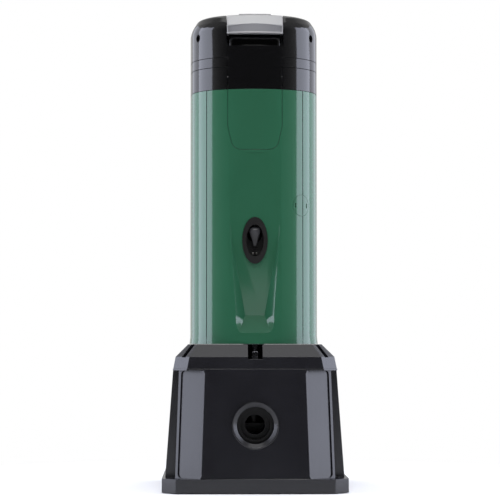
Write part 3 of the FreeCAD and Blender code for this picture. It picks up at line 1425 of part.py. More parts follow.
def electronics():
    """Above the motor: a finned sink, the tray that the head stands on, the board and its capacitors."""
    plate = rod("sink_plate", "sink_radius", "sink_plate", "0", "0", "tray_height - sink_plate")
    fins = [
        block(f"sink_fin_{index}", "sink_fin_wall", "sink_fin_span", "sink_height",
              f"({index} - (sink_fins - 1) / 2) * (sink_fin_span / sink_fins)", "0",
              "tray_height - sink_plate - sink_height")
        for index in range(SIZES["sink_fins"])
    ]
    node(joined("heat_sink", plate, *fins), "heat_sink")
    tray = body_prism("tray_plate", "head_wall + fit_gap", "tray_height", "tray_thickness")
    node(tray, "electronics_tray")
    board_z = "tray_height + tray_thickness + board_lift"
    posts = [
        rod("board_post", "post_radius", "board_lift", f"{x} * (board_width / 2 - post_inset)",
            f"{y} * (board_depth / 2 - post_inset)", "tray_height + tray_thickness")
        for x in ("-1", "1") for y in ("-1", "1")
    ]
    node(joined("board_posts", *posts), "board_posts")
    node(block("board", "board_width", "board_depth", "board_thickness", "0", "0", board_z),
         "inverter_board")
    capacitors = [
        rod("capacitor", "capacitor_radius", "capacitor_height", f"{x} * capacitor_spread_x / 2",
            f"{y} * capacitor_spread_y / 2",
            f"{board_z} + board_thickness")
        for x in ("-1", "1") for y in ("-1", "1")
    ]
    node(joined("capacitors", *capacitors), "capacitors")


# ---------------------------------------------------------------- building and writing


def check_document():
    """Stops unless every object is sound and every sub-part has a whole, valid shape."""
    doc.recompute()
    failed = [item.Name for item in doc.Objects if "Invalid" in item.State or "Error" in item.State]
    if failed:
        raise RuntimeError(f"objects that failed: {failed}")
    for piece in nodes:
        if piece.Shape.isNull() or not piece.Shape.isValid() or not piece.Shape.Solids:
            raise RuntimeError(f"{piece.Label} has no valid solid")


def write_parts():
    os.makedirs("parts", exist_ok=True)
    for piece in nodes:
        solids = piece.Shape.Solids
        shape = solids[0] if len(solids) == 1 else Part.makeCompound(solids)
        shape.exportStep(f"parts/{piece.Label}.step")
        print(f"{piece.Label:22s} solids {len(solids)}  volume {piece.Shape.Volume / 1000:.1f} cm3")


dock_shell()
dock_deck()
dock_base_plate()
dock_pads()
pipework()
check_valve()
locking_stud()
covers()
cable_outlet()
service_cap()
display_module(head())
chassis()
water_end()
motor()
vessel()
electronics()
check_document()
write_parts()
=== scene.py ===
"""Looks of a tall water booster pump on its docking base: finishes, small fittings, studio and camera.

Metres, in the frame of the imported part: +Z up, -Y the back with the delivery port, +Y the front.
"""

import json
import math

import bpy
from mathutils import Matrix, Vector


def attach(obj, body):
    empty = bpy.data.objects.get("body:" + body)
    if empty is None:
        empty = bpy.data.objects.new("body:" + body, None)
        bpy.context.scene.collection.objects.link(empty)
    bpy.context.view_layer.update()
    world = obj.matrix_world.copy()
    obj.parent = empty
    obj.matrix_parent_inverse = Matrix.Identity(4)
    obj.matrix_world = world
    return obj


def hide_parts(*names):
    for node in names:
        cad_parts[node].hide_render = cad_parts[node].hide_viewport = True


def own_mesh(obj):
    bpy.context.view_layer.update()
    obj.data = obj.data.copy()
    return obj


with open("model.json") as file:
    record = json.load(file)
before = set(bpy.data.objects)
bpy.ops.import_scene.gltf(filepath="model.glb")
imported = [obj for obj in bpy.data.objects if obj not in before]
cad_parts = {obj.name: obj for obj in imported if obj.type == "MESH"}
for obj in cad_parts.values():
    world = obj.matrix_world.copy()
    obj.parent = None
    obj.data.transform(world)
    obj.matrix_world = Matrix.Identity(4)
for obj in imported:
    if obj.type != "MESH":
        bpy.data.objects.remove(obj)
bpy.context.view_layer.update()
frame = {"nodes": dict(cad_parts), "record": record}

MM = 0.001
SLOT_OF = {part["node"]: part["material_slot"] for part in frame["record"]["subparts"]}


# ---------------------------------------------------------------- sizes, in mm, and angles in radians

# how far each moulded or machined piece's sharp edges are eased
EASED = {
    "dock_shell": 0.45, "dock_deck": 0.45, "delivery_port_rim": 0.5, "suction_port_rim": 0.5,
    "head_lower_band": 0.5, "head_middle_band": 0.5, "head_crown": 0.5, "spine_panel": 0.25,
    "wrap_cover": 0.15, "rear_cover": 0.15, "service_hatch": 0.12, "service_cap": 0.3, "locking_stud": 0.9,
    "display_module": 0.4, "display_bezel": 0.25, "display_screen": 0.1, "display_lens": 0.3,
    "inverter_board": 0.1, "board_posts": 0.2, "impellers": 0.3,
    "delivery_elbow": 0.15, "suction_elbow": 0.15, "service_cap_seat": 0.15, "hatch_frame": 0.15,
}
EASED_OTHERWISE = 0.3
# an edge that turns by more than this is eased
SHARP = math.radians(28)
# points closer than this are one, and faces that turn by less than this are one
SAME_POINT = 0.002
SAME_FACE = math.radians(0.2)
# pieces with broad plain faces, which are kept whole while their edges are eased
BROAD = ("dock_shell", "wrap_cover", "rear_cover", "service_hatch", "spine_panel", "head_lower_band",
         "head_middle_band")

# the slanted pocket at the dock's right-hand front corner, which the other three mirror: a point at the foot of
# its floor, the way that the floor runs across, and the way that it climbs
POCKET_FOOT = (103.28, 195, 1.5)
POCKET_ACROSS = (46, -36, 0)
POCKET_CLIMB = (-7.78, -21.5, 234.5)
# the rim that is left of the rib over that floor, and the levels between which the rib is cut down to it
RIB_RIM = 1.2
RIB_FOOT, RIB_TOP = 28, 233
# the block that cuts it: its size across, outwards and up, and how far its middle lies from the pocket's foot
CUTTER_SIZE = (160, 80, 400)
CUTTER_MIDDLE = (60, 40, 120)

# the crown's two rounded edges: the level of each, and how far it is rounded
CROWN_SHOULDER, SHOULDER_ROUNDING = 901, 9
CROWN_RIM, RIM_ROUNDING = 919.5, 3
LEVEL_TOLERANCE = 0.05

# the seam between the covers at the right-hand side: a point of it in plan, and the way that it faces
SEAM_POINT = (93.4, -112.2)
SEAM_FACING = (0.682, -0.731)
SEAM_FOOT, SEAM_TOP = 292, 774.6
# the dark lip that stands in each seam as painted shadow of its gap: its width, its depth, how far it is sunk, and
# its eased edge
LIP_WIDTH, LIP_DEPTH, LIP_SUNK, LIP_EDGE = 1.9, 2.1, 0.9, 0.3
# the right-hand lip of painted seam shadow stops below and over the service cap, which carries a short lip of its
# own
LIP_BELOW_CAP, LIP_OVER_CAP = 531.2, 573
CAP_LIP_FOOT, CAP_LIP_TOP = 533.6, 570.4

# the plug in the cable outlet: its middle, its length, its radius at each end, its depth as a share of its width,
# the rounding of its ends, and the levels between which it turns from painted shade to grey
PLUG_MIDDLE = (0, -131, 488)
PLUG_LENGTH, PLUG_HEAD, PLUG_TIP, PLUG_FLATNESS, PLUG_ROUNDING = 42, 13, 1.6, 0.58, 9
PAINTED_SHADE_FOOT, PAINTED_SHADE_TOP = 474, 507

# the check valve's spring: how far in front of the pump's middle it stands, its two ends, its coil and its wire
SPRING_Y, SPRING_FOOT, SPRING_TOP = 62, 188.6, 217.7
SPRING_RADIUS, WIRE_RADIUS, SPRING_TURNS = 6.2, 0.7, 6

# the sunk band in the display module's end: how far back its bowed face stands, and the levels that bound it
BAND_BACK, BAND_BOW, BAND_FRONT = -143, 0.0031, -130
BAND_FOOT, BAND_TOP = 886.5, 903.5
# a face whose normal rises by less than this is upright
UPRIGHT = 0.2


# ---------------------------------------------------------------- finishes

def linear(colour):
    """A written sRGB colour, such as "2b5a44", as the linear one that a shader takes."""
    steps = [int(colour[i:i + 2], 16) / 255 for i in (0, 2, 4)]
    return [c / 12.92 if c <= 0.04045 else ((c + 0.055) / 1.055) ** 2.4 for c in steps] + [1.0]


def add_node(tree, kind, inputs=None, **settings):
    """Adds a node with its settings; an input is a value, or the output of another node that feeds it."""
    node = tree.nodes.new(kind)
    for name, value in settings.items():
        setattr(node, name, value)
    for name, value in (inputs or {}).items():
        if isinstance(value, bpy.types.NodeSocket):
            tree.links.new(value, node.inputs[name])
        else:
            node.inputs[name].default_value = value
    return node


def new_finish(name, sockets):
    """An empty material with its shader, and where on the object each point of it is."""
    finish = bpy.data.materials.new(name)
    finish.use_nodes = True
    tree = finish.node_tree
    shader = tree.nodes["Principled BSDF"]
    for socket, value in sockets.items():
        shader.inputs[socket].default_value = value
    place = add_node(tree, "ShaderNodeTexCoord").outputs["Object"]
    return finish, tree, shader, place


def mottled(tree, shader, place, colours, size, roughness):
    """Lets colour and roughness drift between two values over patches of about the given size."""
    cloud = add_node(tree, "ShaderNodeTexNoise", {"Vector": place, "Scale": 1 / size, "Detail": 3.0})
    blend = add_node(tree, "ShaderNodeMix", {"Factor": cloud.outputs["Fac"]}, data_type="RGBA")
    blend.inputs["A"].default_value = linear(colours[0])
    blend.inputs["B"].default_value = linear(colours[1])
    span = add_node(tree, "ShaderNodeMapRange", {
        "Value": cloud.outputs["Fac"], "To Min": roughness[0], "To Max": roughness[1],
    })
    tree.links.new(blend.outputs["Result"], shader.inputs["Base Color"])
    tree.links.new(span.outputs["Result"], shader.inputs["Roughness"])


def relief(tree, shader, height, depth):
    """Raises the surface by a pattern's height."""
    bump = add_node(tree, "ShaderNodeBump", {"Height": height, "Distance": depth, "Strength": 1.0})
    tree.links.new(bump.outputs["Normal"], shader.inputs["Normal"])


def moulded(name, colours, roughness, grain, depth, **sockets):
    """A moulded plastic or rubber, whose tool left a fine grain."""
    finish, tree, shader, place = new_finish(name, {"IOR": 1.5, **sockets})
    mottled(tree, shader, place, colours, 60 * MM, roughness)
    grains = add_node(tree, "ShaderNodeTexNoise", {"Vector": place, "Scale": 1 / grain, "Detail": 2.0})
    relief(tree, shader, grains.outputs["Fac"], depth)
    return finish


def worked_metal(name, colours, roughness, line=(0.6 * MM, 0.6 * MM, 0.6 * MM), depth=0.01 * MM):
    """A metal whose tool marks are lines or grains with the given size along X, Y and Z."""
    finish, tree, shader, place = new_finish(name, {"Metallic": 1.0})
    mottled(tree, shader, place, colours, 25 * MM, roughness)
    stretch = add_node(tree, "ShaderNodeMapping", {"Vector": place, "Scale": [1 / side for side in line]})
    marks = add_node(tree, "ShaderNodeTexNoise", {"Vector": stretch.outputs["Vector"], "Scale": 1.0, "Detail": 2.0})
    relief(tree, shader, marks.outputs["Fac"], depth)
    return finish


def laminated_steel():
    """Electrical steel sheets stacked along the shaft: the eye sees fine level lines.

    Real sheets are half a millimetre thick; the lines are drawn 12.6 mm apart.
    """
    spacing = 4 * math.pi * MM
    finish, tree, shader, place = new_finish("laminated_electrical_steel", {"Metallic": 1.0})
    mottled(tree, shader, place, ("4a4a4e", "5d5c5c"), 20 * MM, (0.42, 0.58))
    # the texture takes 20 times its scaled place as the angle of its wave
    sheets = add_node(tree, "ShaderNodeTexWave", {"Vector": place, "Scale": math.tau / (20 * spacing)},
                      bands_direction="Z")
    relief(tree, shader, sheets.outputs["Fac"], 0.2 * MM)
    return finish


def circuit_board():
    """Green solder mask over glass laminate: a faint maze of tracks shows under the lacquer, about 3 mm apart."""
    finish, tree, shader, place = new_finish("solder_mask_on_laminate", {"IOR": 1.55, "Roughness": 0.32})
    cells = add_node(tree, "ShaderNodeTexVoronoi", {"Vector": place, "Scale": 1 / (3 * MM)}, distance="MANHATTAN")
    tracks = add_node(tree, "ShaderNodeValToRGB", {"Fac": cells.outputs["Distance"]})
    tracks.color_ramp.elements[0].position = 0.42
    tracks.color_ramp.elements[0].color = linear("0d4026")
    tracks.color_ramp.elements[1].position = 0.5
    tracks.color_ramp.elements[1].color = linear("15603a")
    tree.links.new(tracks.outputs["Color"], shader.inputs["Base Color"])
    relief(tree, shader, cells.outputs["Distance"], 0.05 * MM)
    return finish


def clear_window():
    """Clear acrylic over the display: it shows the panel under it, and mirrors the room softly."""
    finish, tree, shader, place = new_finish("clear_acrylic", {"IOR": 1.49, "Transmission Weight": 1.0})
    mottled(tree, shader, place, ("f2f6f7", "ffffff"), 40 * MM, (0.01, 0.03))
    return finish


def liquid_crystal():
    """A dark liquid-crystal panel behind the window: its dots show as a very fine weave, drawn 0.8 mm apart."""
    finish, tree, shader, place = new_finish("liquid_crystal_panel", {"IOR": 1.5})
    mottled(tree, shader, place, ("141b22", "1b242c"), 30 * MM, (0.18, 0.26))
    dots = add_node(tree, "ShaderNodeTexVoronoi", {"Vector": place, "Scale": 1 / (0.8 * MM), "Randomness": 0.0})
    relief(tree, shader, dots.outputs["Distance"], 0.01 * MM)
    return finish


def shaded_plug():
    """Mid-grey silicone that a cable port is blanked off with: grey at the top, and painted darker towards its tip
    as the cup's shade.
    """
    finish, tree, shader, place = new_finish("grey_silicone_plug", {"IOR": 1.5, "Roughness": 0.42})
    height = add_node(tree, "ShaderNodeSeparateXYZ", {"Vector": place}).outputs["Z"]
    run = add_node(tree, "ShaderNodeMapRange", {
        "Value": height, "From Min": PAINTED_SHADE_FOOT * MM, "From Max": PAINTED_SHADE_TOP * MM,
    })
    # painted shade: the plug's colour darkens towards its tip, where the cup shades it
    painted_shade = add_node(tree, "ShaderNodeMix", {"Factor": run.outputs["Result"]}, data_type="RGBA")
    painted_shade.inputs["A"].default_value = linear("0c0c0e")
    painted_shade.inputs["B"].default_value = linear("303034")
    tree.links.new(painted_shade.outputs["Result"], shader.inputs["Base Color"])
    grains = add_node(tree, "ShaderNodeTexNoise", {"Vector": place, "Scale": 1 / (0.8 * MM), "Detail": 2.0})
    relief(tree, shader, grains.outputs["Fac"], 0.02 * MM)
    return finish


FINISHES = {
    # polypropylene blend from a spark-eroded tool: satin black, its grain breaks a reflection up
    "dock_plastic": moulded("grained_black_polypropylene", ("141418", "19191e"), (0.2, 0.28), 1.2 * MM,
                            0.012 * MM),
    # high-gloss ABS in dark green: nearly a mirror, with the faint waviness of a moulding
    "cover_green": moulded("gloss_green_abs", ("285740", "2b5a43"), (0.08, 0.12), 14 * MM, 0.01 * MM),
    # high-gloss ABS in black: as smooth as the green covers
    "head_black": moulded("gloss_black_abs", ("0a0a0b", "0d0d0e"), (0.08, 0.12), 14 * MM, 0.01 * MM),
    # silver lacquer over ABS: fine aluminium flakes give it a soft metal sheen
    "display_silver": moulded("silver_lacquered_abs", ("a2a2a4", "acacad"), (0.34, 0.42), 0.7 * MM, 0.012 * MM,
                              Metallic=0.35),
    "screen_dark": liquid_crystal(),
    "lens_clear": clear_window(),
    # silicone rubber: dull and slightly waxy
    "key_rubber": moulded("grey_silicone_rubber", ("3a3b3e", "424347"), (0.5, 0.6), 0.8 * MM, 0.02 * MM),
    # fine-textured black polyamide, nearly matt
    "trim_black": moulded("textured_black_polyamide", ("090808", "0e0d0d"), (0.3, 0.4), 0.9 * MM, 0.015 * MM),
    # nitrile rubber: black and dull
    "seal_rubber": moulded("black_nitrile_rubber", ("121212", "191918"), (0.6, 0.72), 1.1 * MM, 0.04 * MM),
    # glass-filled polyamide: black with a greyish, fibrous skin
    "water_plastic": moulded("glass_filled_polyamide", ("060607", "0a0a0b"), (0.3, 0.4), 1.6 * MM, 0.03 * MM,
                             **{"Specular IOR Level": 0.25}),
    # polyacetal: waxy off-white
    "stage_plastic": moulded("ivory_polyacetal", ("c9c2ad", "d6cfbb"), (0.34, 0.44), 1.5 * MM, 0.02 * MM),
    # stainless steel, brushed level: fine lines lie round the part
    "stainless": worked_metal("brushed_stainless_steel", ("b9b7b3", "c8c6c2"), (0.24, 0.34),
                              (12 * MM, 12 * MM, 0.35 * MM)),
    # black nickel on steel: dark, but polished enough for its edges to flash
    "black_screw": worked_metal("black_nickel_plated_steel", ("58585d", "66666b"), (0.12, 0.2)),
    # sand-cast aluminium: dull grey with a coarse, pitted grain
    "cast_aluminium": worked_metal("sand_cast_aluminium", ("9a9c9e", "adafb0"), (0.48, 0.62),
                                   (1.6 * MM, 1.6 * MM, 1.6 * MM), 0.12 * MM),
    "laminations": laminated_steel(),
    # ground bearing steel: bright, with hair-fine grinding lines
    "bearing_steel": worked_metal("ground_bearing_steel", ("c4c5c8", "d2d3d5"), (0.1, 0.18),
                                  (8 * MM, 8 * MM, 0.25 * MM), 0.004 * MM),
    # turned brass: warm yellow with tool rings
    "brass": worked_metal("turned_brass", ("b08a45", "c19a52"), (0.22, 0.32), (6 * MM, 6 * MM, 0.4 * MM)),
    # blue stoving enamel on steel: glossy, with slight orange peel
    "vessel_paint": moulded("blue_stoving_enamel", ("1d3f86", "234894"), (0.16, 0.24), 5 * MM, 0.03 * MM,
                            **{"Coat Weight": 0.5, "Coat Roughness": 0.1}),
    "board_green": circuit_board(),
    # shrink sleeve on an aluminium can: dark blue, glossy and a little creased
    "capacitor_sleeve": moulded("dark_blue_shrink_sleeve", ("1b2233", "232c40"), (0.22, 0.34), 4 * MM, 0.06 * MM),
}


# ---------------------------------------------------------------- ways of working on a piece

def take(piece):
    """Makes one object the only selected one, and the active one."""
    bpy.ops.object.select_all(action="DESELECT")
    piece.select_set(True)
    bpy.context.view_layer.objects.active = piece


def apply(piece, kind, **settings):
    """Adds a modifier with its settings and applies it."""
    take(piece)
    modifier = piece.modifiers.new(kind.title(), kind)
    for name, value in settings.items():
        setattr(modifier, name, value)
    bpy.ops.object.modifier_apply(modifier=modifier.name)


def mark_faces(piece, test):
    """Selects the faces that pass the test, and nothing else."""
    mesh = piece.data
    mesh.vertices.foreach_set("select", [False] * len(mesh.vertices))
    mesh.edges.foreach_set("select", [False] * len(mesh.edges))
    mesh.polygons.foreach_set("select", [test(face) for face in mesh.polygons])


def edit(piece, operation, test=None, **settings):
    """Runs one edit-mode operation on the faces that pass the test, or on the whole piece."""
    take(piece)
    if test:
        mark_faces(piece, test)
    bpy.ops.object.mode_set(mode="EDIT")
    bpy.ops.mesh.select_mode(type="FACE")
    if not test:
        bpy.ops.mesh.select_all(action="SELECT")
    operation(**settings)
    bpy.ops.object.mode_set(mode="OBJECT")


def in_triangles(piece):
    """Divides a piece's faces into triangles, which stay flat however far an edge is eased."""
    edit(piece, bpy.ops.mesh.quads_convert_to_tris, quad_method="BEAUTY", ngon_method="BEAUTY")


def settle(piece):
    """Puts a piece's place into its mesh, so that its object sits at the origin."""
    take(piece)
    bpy.ops.object.transform_apply(location=True, rotation=True, scale=True)


def smooth(piece, angle=32):
    """Shades a piece smooth across its eased edges, with its broad faces left even."""
    take(piece)
    bpy.ops.object.shade_smooth_by_angle(angle=math.radians(angle))
    apply(piece, "WEIGHTED_NORMAL", mode="FACE_AREA", weight=100, keep_sharp=True)


def dress(piece, name, body, slot):
    """Names a finished piece, gives it its finish and lets it ride on its body."""
    piece.name = name
    piece.data.name = name
    piece.data.materials.clear()
    piece.data.materials.append(FINISHES[slot])
    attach(piece, body)


def body_of(node):
    """The body that a node of the part belongs to."""
    return next(body for body, nodes in frame["record"]["behaviour"]["bodies"].items() if node in nodes)


# ---------------------------------------------------------------- the part's own pieces, with eased edges

def at_corner(size, side, end):
    """A vector of the dock's right-hand front corner, mirrored to the corner at this side and end."""
    return Vector((side * size[0], end * size[1], size[2]))


def rib_cutter(side, end):
    """A block whose inner face lies a rim's height above the slanted floor of one of the dock's four pockets."""
    along = at_corner(POCKET_ACROSS, side, end).normalized()
    upward = at_corner(POCKET_CLIMB, side, end)
    outward = along.cross(upward).normalized()
    if outward.y * end < 0:
        outward.negate()
    upward = along.cross(outward) * side * end
    corner = at_corner(POCKET_FOOT, side, end) * MM + outward * RIB_RIM * MM
    bpy.ops.mesh.primitive_cube_add(size=1)
    block = bpy.context.object
    across, out, up = CUTTER_MIDDLE
    centre = corner + along * across * MM + outward * out * MM + upward * up * MM
    width, depth, height = CUTTER_SIZE
    sides = Matrix((along * width, outward * depth, upward * height)).transposed() * MM
    block.matrix_world = Matrix.Translation(centre) @ sides.to_4x4()
    settle(block)
    for level, facing in ((RIB_FOOT, -1), (RIB_TOP, 1)):
        edit(block, bpy.ops.mesh.bisect, plane_co=(0, 0, level * MM), plane_no=(0, 0, facing), use_fill=True,
             clear_outer=True)
    edit(block, bpy.ops.mesh.normals_make_consistent)
    return block


def join(pieces):
    """Makes one object of several, and gives it back."""
    take(pieces[0])
    for piece in pieces:
        piece.select_set(True)
    bpy.ops.object.join()
    return pieces[0]


def carve(piece, tool):
    """Cuts the tool out of the piece, and does away with the tool."""
    in_triangles(piece)
    apply(piece, "BOOLEAN", operation="DIFFERENCE", object=tool, solver="EXACT", use_self=True)
    bpy.data.objects.remove(tool)


def trim_ribs(shell):
    """Brings the outer rib of each pocket down to a low rim, so that the slanted floor is open to the side."""
    carve(shell, join([rib_cutter(side, end) for side in (-1, 1) for end in (-1, 1)]))


def round_level(piece, level, width):
    """Rounds the outer edge that runs round a piece at one level."""
    mesh = piece.data
    take(piece)
    for group in (mesh.vertices, mesh.edges, mesh.polygons):
        group.foreach_set("select", [False] * len(group))
    for edge in mesh.edges:
        ends = [mesh.vertices[index].co for index in edge.vertices]
        edge.select = all(abs(end.z - level) < LEVEL_TOLERANCE * MM for end in ends)
    bpy.ops.object.mode_set(mode="EDIT")
    bpy.ops.mesh.select_mode(type="EDGE")
    bpy.ops.mesh.bevel(offset=width, segments=5, profile=0.5, clamp_overlap=False)
    bpy.ops.object.mode_set(mode="OBJECT")


def soften_crown(crown):
    """Rounds the crown's shoulder and the rim of its top."""
    round_level(crown, CROWN_SHOULDER * MM, SHOULDER_ROUNDING * MM)
    round_level(crown, CROWN_RIM * MM, RIM_ROUNDING * MM)


# what is shaped before its edges are eased, and what is carved afterwards
SHAPED = {"head_crown": soften_crown}
CARVED = {"dock_shell": trim_ribs}


def eased_copy(node):
    """A copy of a CAD piece with its facets merged and its sharp edges eased, which stands for that piece."""
    mesh = frame["nodes"][node].data.copy()
    piece = bpy.data.objects.new(node, mesh)
    bpy.context.scene.collection.objects.link(piece)
    take(piece)
    bpy.ops.mesh.customdata_custom_splitnormals_clear()
    edit(piece, bpy.ops.mesh.remove_doubles, threshold=SAME_POINT * MM)
    edit(piece, bpy.ops.mesh.dissolve_limited, angle_limit=SAME_FACE)
    if node in SHAPED:
        SHAPED[node](piece)
    if node not in BROAD:
        in_triangles(piece)
    apply(piece, "BEVEL", width=EASED.get(node, EASED_OTHERWISE) * MM, segments=2, limit_method="ANGLE",
          angle_limit=SHARP, use_clamp_overlap=False, miter_outer="MITER_ARC")
    if node in CARVED:
        CARVED[node](piece)
    smooth(piece)
    dress(piece, f"{node}_eased", body_of(node), SLOT_OF[node])
    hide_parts(node)
    return piece


# the spring is the one node that a piece of its own stands for
eased = {node: eased_copy(node) for node in sorted(frame["nodes"]) if node != "check_valve_spring"}


# ---------------------------------------------------------------- small fittings of its own

def add_block(place, size, turn):
    """A plain block to shape further, turned about the vertical."""
    bpy.ops.object.select_all(action="DESELECT")
    bpy.ops.mesh.primitive_cube_add(size=1, location=Vector(place) * MM, rotation=(0, 0, turn))
    block = bpy.context.object
    block.scale = Vector(size) * MM
    settle(block)
    return block


def seam_shadow_strip(name, side, foot, top, body):
    """A black lip in the seam between the two covers, hardly proud of them: painted shadow of the seam's gap."""
    facing_x, facing_y = SEAM_FACING
    outward = Vector((facing_x * side, facing_y, 0))
    place = Vector((SEAM_POINT[0] * side, SEAM_POINT[1], (foot + top) / 2)) - outward * LIP_SUNK
    lip = add_block(place, (LIP_WIDTH, LIP_DEPTH, top - foot), side * math.atan2(facing_x, -facing_y))
    apply(lip, "BEVEL", width=LIP_EDGE * MM, segments=3)
    smooth(lip)
    dress(lip, name, body, "seal_rubber")
    # painted shadow: the lip takes a black without gloss, so that the seam reads dark
    lip.data.materials[0] = SEAM_SHADOW_BLACK


def gland_plug():
    """The tapered plug that blanks the cable gland off, with its rounded head up."""
    bpy.ops.object.select_all(action="DESELECT")
    bpy.ops.mesh.primitive_cone_add(vertices=48, radius1=PLUG_HEAD * MM, radius2=PLUG_TIP * MM,
                                    depth=PLUG_LENGTH * MM, location=[side * MM for side in PLUG_MIDDLE],
                                    rotation=(math.pi, 0, 0))
    plug = bpy.context.object
    plug.scale = (1, PLUG_FLATNESS, 1)
    settle(plug)
    apply(plug, "BEVEL", width=PLUG_ROUNDING * MM, segments=8, limit_method="ANGLE", angle_limit=math.radians(60),
          use_clamp_overlap=False)
    smooth(plug, 60)
    dress(plug, "gland_plug", "pump_unit", "seal_rubber")
    plug.data.materials[0] = shaded_plug()


def valve_spring():
    """The check valve's coil spring: six turns of 1.4 mm wire between the poppet and the cage."""
    bpy.ops.object.select_all(action="DESELECT")
    bpy.ops.mesh.primitive_circle_add(vertices=10, radius=WIRE_RADIUS * MM, fill_type="NOTHING",
                                      location=(SPRING_RADIUS * MM, 0, 0), rotation=(math.pi / 2, 0, 0))
    spring = bpy.context.object
    settle(spring)
    length = SPRING_TOP - SPRING_FOOT - 2 * WIRE_RADIUS
    steps = 24 * SPRING_TURNS
    apply(spring, "SCREW", angle=math.tau * SPRING_TURNS, screw_offset=length * MM, iterations=1, steps=steps,
          render_steps=steps)
    spring.data.transform(Matrix.Translation(Vector((0, SPRING_Y, SPRING_FOOT + WIRE_RADIUS)) * MM))
    edit(spring, bpy.ops.mesh.remove_doubles, threshold=0.001 * MM)
    edit(spring, bpy.ops.mesh.fill_holes, sides=10)
    edit(spring, bpy.ops.mesh.normals_make_consistent)
    smooth(spring, 40)
    dress(spring, "check_valve_spring_coils", "dock", "stainless")
    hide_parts("check_valve_spring")
    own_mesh(spring)


def shade_band(module):
    """Gives the sunk band in the module's end a rougher lacquer, painted darker than the bar round it as shade in
    its recess.
    """
    # a darker copy of the silver lacquer: painted shade in the sunk band
    module.data.materials.append(moulded("painted_shade_silver_lacquered_abs", ("7a7a7e", "848488"), (0.4, 0.5), 0.7 * MM,
                                         0.012 * MM, Metallic=0.35))
    for face in module.data.polygons:
        x, y, z = face.center / MM
        sunk = BAND_BACK + BAND_BOW * x * x < y < BAND_FRONT
        if sunk and BAND_FOOT < z < BAND_TOP and abs(face.normal.z) < UPRIGHT:
            face.material_index = 1


# a black with no gloss, put in the seams as painted shadow, so that a seam reads as a dark line
SEAM_SHADOW_BLACK = moulded("painted_seam_shadow_black", ("030303", "070707"), (0.9, 1.0), 0.6 * MM, 0.05 * MM,
                    **{"Specular IOR Level": 0.0})
valve_spring()
seam_shadow_strip("left_seam_shadow_strip", -1, SEAM_FOOT, SEAM_TOP, "pump_unit")
seam_shadow_strip("right_seam_shadow_strip_below_cap", 1, SEAM_FOOT, LIP_BELOW_CAP, "pump_unit")
seam_shadow_strip("right_seam_shadow_strip_over_cap", 1, LIP_OVER_CAP, SEAM_TOP, "pump_unit")
seam_shadow_strip("service_cap_seam_shadow_strip", 1, CAP_LIP_FOOT, CAP_LIP_TOP, "cap")
gland_plug()
shade_band(eased["display_module"])


# ---------------------------------------------------------------- studio and camera, in metres

FLOOR_SIZE = 6
# the floor keeps its shadow out to the first distance, and is backdrop from the second on
FLOOR_NEAR, FLOOR_FAR = 0.3, 0.9
# how bright the room is in front of the pump and behind it, and how bright gloss shows the backdrop
ROOM_FRONT, ROOM_BACK, GLOSSY_BACKDROP = 0.03, 0.45, 0.6
DAYLIGHT = "e6ebff"
LAMP_LEVEL, LAMP_HEIGHT = 0.85, 1.7
PUMP_MIDDLE = (0, 0, 0.5)

LENS, SENSOR = 135.2, 36
DISTANCE, EYE_LEVEL = 3.75, 0.283
# the camera stands this far round to the left, and is then turned up and aside by these
SIDEWAYS, UPWARD, ASIDE = math.radians(1.2), math.radians(1.96), math.radians(0.107)
FRAME_SHIFT = 0.06


def pale_floor():
    """A plain white floor: it keeps the pump's shadow close by, and runs into the white backdrop further out."""
    finish, tree, shader, place = new_finish("white_studio_floor", {"Roughness": 0.9, "Specular IOR Level": 0.2})
    shader.inputs["Base Color"].default_value = linear("f4f4f4")
    reach = add_node(tree, "ShaderNodeVectorMath", {0: place}, operation="LENGTH")
    far = add_node(tree, "ShaderNodeMapRange", {"Value": reach.outputs["Value"], "From Min": FLOOR_NEAR,
                                                  "From Max": FLOOR_FAR})
    seen = add_node(tree, "ShaderNodeLightPath").outputs["Is Camera Ray"]
    share = add_node(tree, "ShaderNodeMath", {0: far.outputs["Result"], 1: seen}, operation="MULTIPLY")
    glow = add_node(tree, "ShaderNodeEmission", {"Color": [1, 1, 1, 1], "Strength": 1.0})
    mixed = add_node(tree, "ShaderNodeMixShader", {
        0: share.outputs["Value"], 1: shader.outputs["BSDF"], 2: glow.outputs["Emission"],
    })
    tree.links.new(mixed.outputs["Shader"], tree.nodes["Material Output"].inputs["Surface"])
    return finish


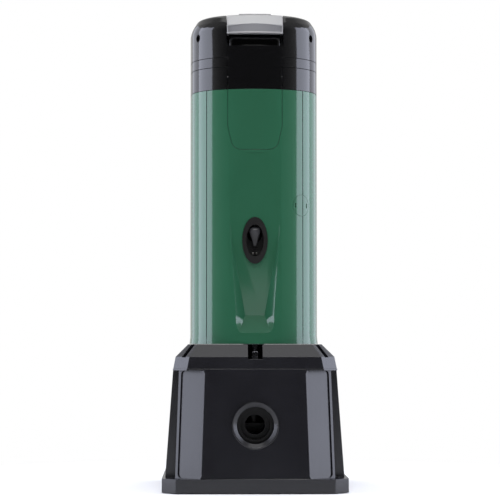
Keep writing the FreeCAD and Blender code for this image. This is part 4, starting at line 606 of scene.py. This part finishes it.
def studio_room():
    """A backdrop behind the pump, and a dim room in front of it.

    The eye sees white all round, also through the window; gloss shows the pale backdrop, but not as bright as white.
    """
    world = bpy.data.worlds.new("studio_room")
    bpy.context.scene.world = world
    world.use_nodes = True
    tree = world.node_tree
    toward = add_node(tree, "ShaderNodeTexCoord").outputs["Generated"]
    depth = add_node(tree, "ShaderNodeSeparateXYZ", {"Vector": toward}).outputs["Y"]
    room = add_node(tree, "ShaderNodeMapRange", {
        "Value": depth, "From Min": -0.8, "From Max": -0.4, "To Min": ROOM_FRONT, "To Max": ROOM_BACK,
    })
    path = add_node(tree, "ShaderNodeLightPath")
    seen = add_node(tree, "ShaderNodeMath", {
        0: path.outputs["Is Camera Ray"], 1: path.outputs["Is Transmission Ray"],
    }, operation="MAXIMUM")
    backdrop = add_node(tree, "ShaderNodeMapRange", {
        "Value": depth, "From Min": -0.1, "From Max": 0.3, "To Min": 0.0, "To Max": GLOSSY_BACKDROP,
    })
    mirrored = add_node(tree, "ShaderNodeMath", {
        0: backdrop.outputs["Result"], 1: path.outputs["Is Glossy Ray"],
    }, operation="MULTIPLY")
    shown = add_node(tree, "ShaderNodeMath", {
        0: mirrored.outputs["Value"], 1: seen.outputs["Value"],
    }, operation="MAXIMUM")
    strength = add_node(tree, "ShaderNodeMath", {
        0: room.outputs["Result"], 1: shown.outputs["Value"],
    }, operation="MAXIMUM")
    tree.links.new(strength.outputs["Value"], tree.nodes["Background"].inputs["Strength"])
    tree.nodes["Background"].inputs["Color"].default_value = [1, 1, 1, 1]


def softbox(name, place, aim, width, height, radiance, colour="ffffff"):
    """A flat soft lamp of even brightness, turned towards a point."""
    bpy.ops.object.light_add(type="AREA", location=place)
    lamp = bpy.context.object
    lamp.name = name
    lamp.data.shape = "RECTANGLE"
    lamp.data.size = width
    lamp.data.size_y = height
    # an area lamp's brightness is its energy over four times its area
    lamp.data.energy = radiance * 4 * width * height
    lamp.data.color = linear(colour)[:3]
    lamp.rotation_euler = (Vector(aim) - Vector(place)).to_track_quat("-Z", "Y").to_euler()


bpy.ops.object.select_all(action="DESELECT")
bpy.ops.mesh.primitive_plane_add(size=FLOOR_SIZE, location=(0, 0, 0))
floor = bpy.context.object
floor.name = "studio_floor"
floor.data.materials.append(pale_floor())

studio_room()
for side, sign in (("left", -1), ("right", 1)):
    softbox(f"{side}_softbox", (1.5 * sign, -0.02, LAMP_LEVEL), (0, -0.02, LAMP_LEVEL), width=1.24,
            height=LAMP_HEIGHT, radiance=3.3, colour=DAYLIGHT)
    softbox(f"{side}_rear_softbox", (1.19 * sign, 1.07, LAMP_LEVEL), (0, 0, LAMP_LEVEL), width=1.1,
            height=LAMP_HEIGHT, radiance=0.85, colour=DAYLIGHT)
softbox("overhead_softbox", (0, -0.1, 2.9), PUMP_MIDDLE, width=2.2, height=2.2, radiance=1.0)
softbox("front_key", (0, -3.1, 3.1), PUMP_MIDDLE, width=2.2, height=1.4, radiance=7.0)

bpy.ops.object.camera_add()
camera = bpy.context.object
bpy.context.scene.camera = camera
camera.data.lens = LENS
camera.data.sensor_width = SENSOR
camera.location = (-DISTANCE * math.sin(SIDEWAYS), -DISTANCE * math.cos(SIDEWAYS), EYE_LEVEL)
camera.rotation_euler = (math.radians(90) + UPWARD, 0, ASIDE - SIDEWAYS)
camera.data.shift_y = FRAME_SHIFT

bpy.context.scene.view_settings.view_transform = "Standard"

bpy.context.view_layer.update()
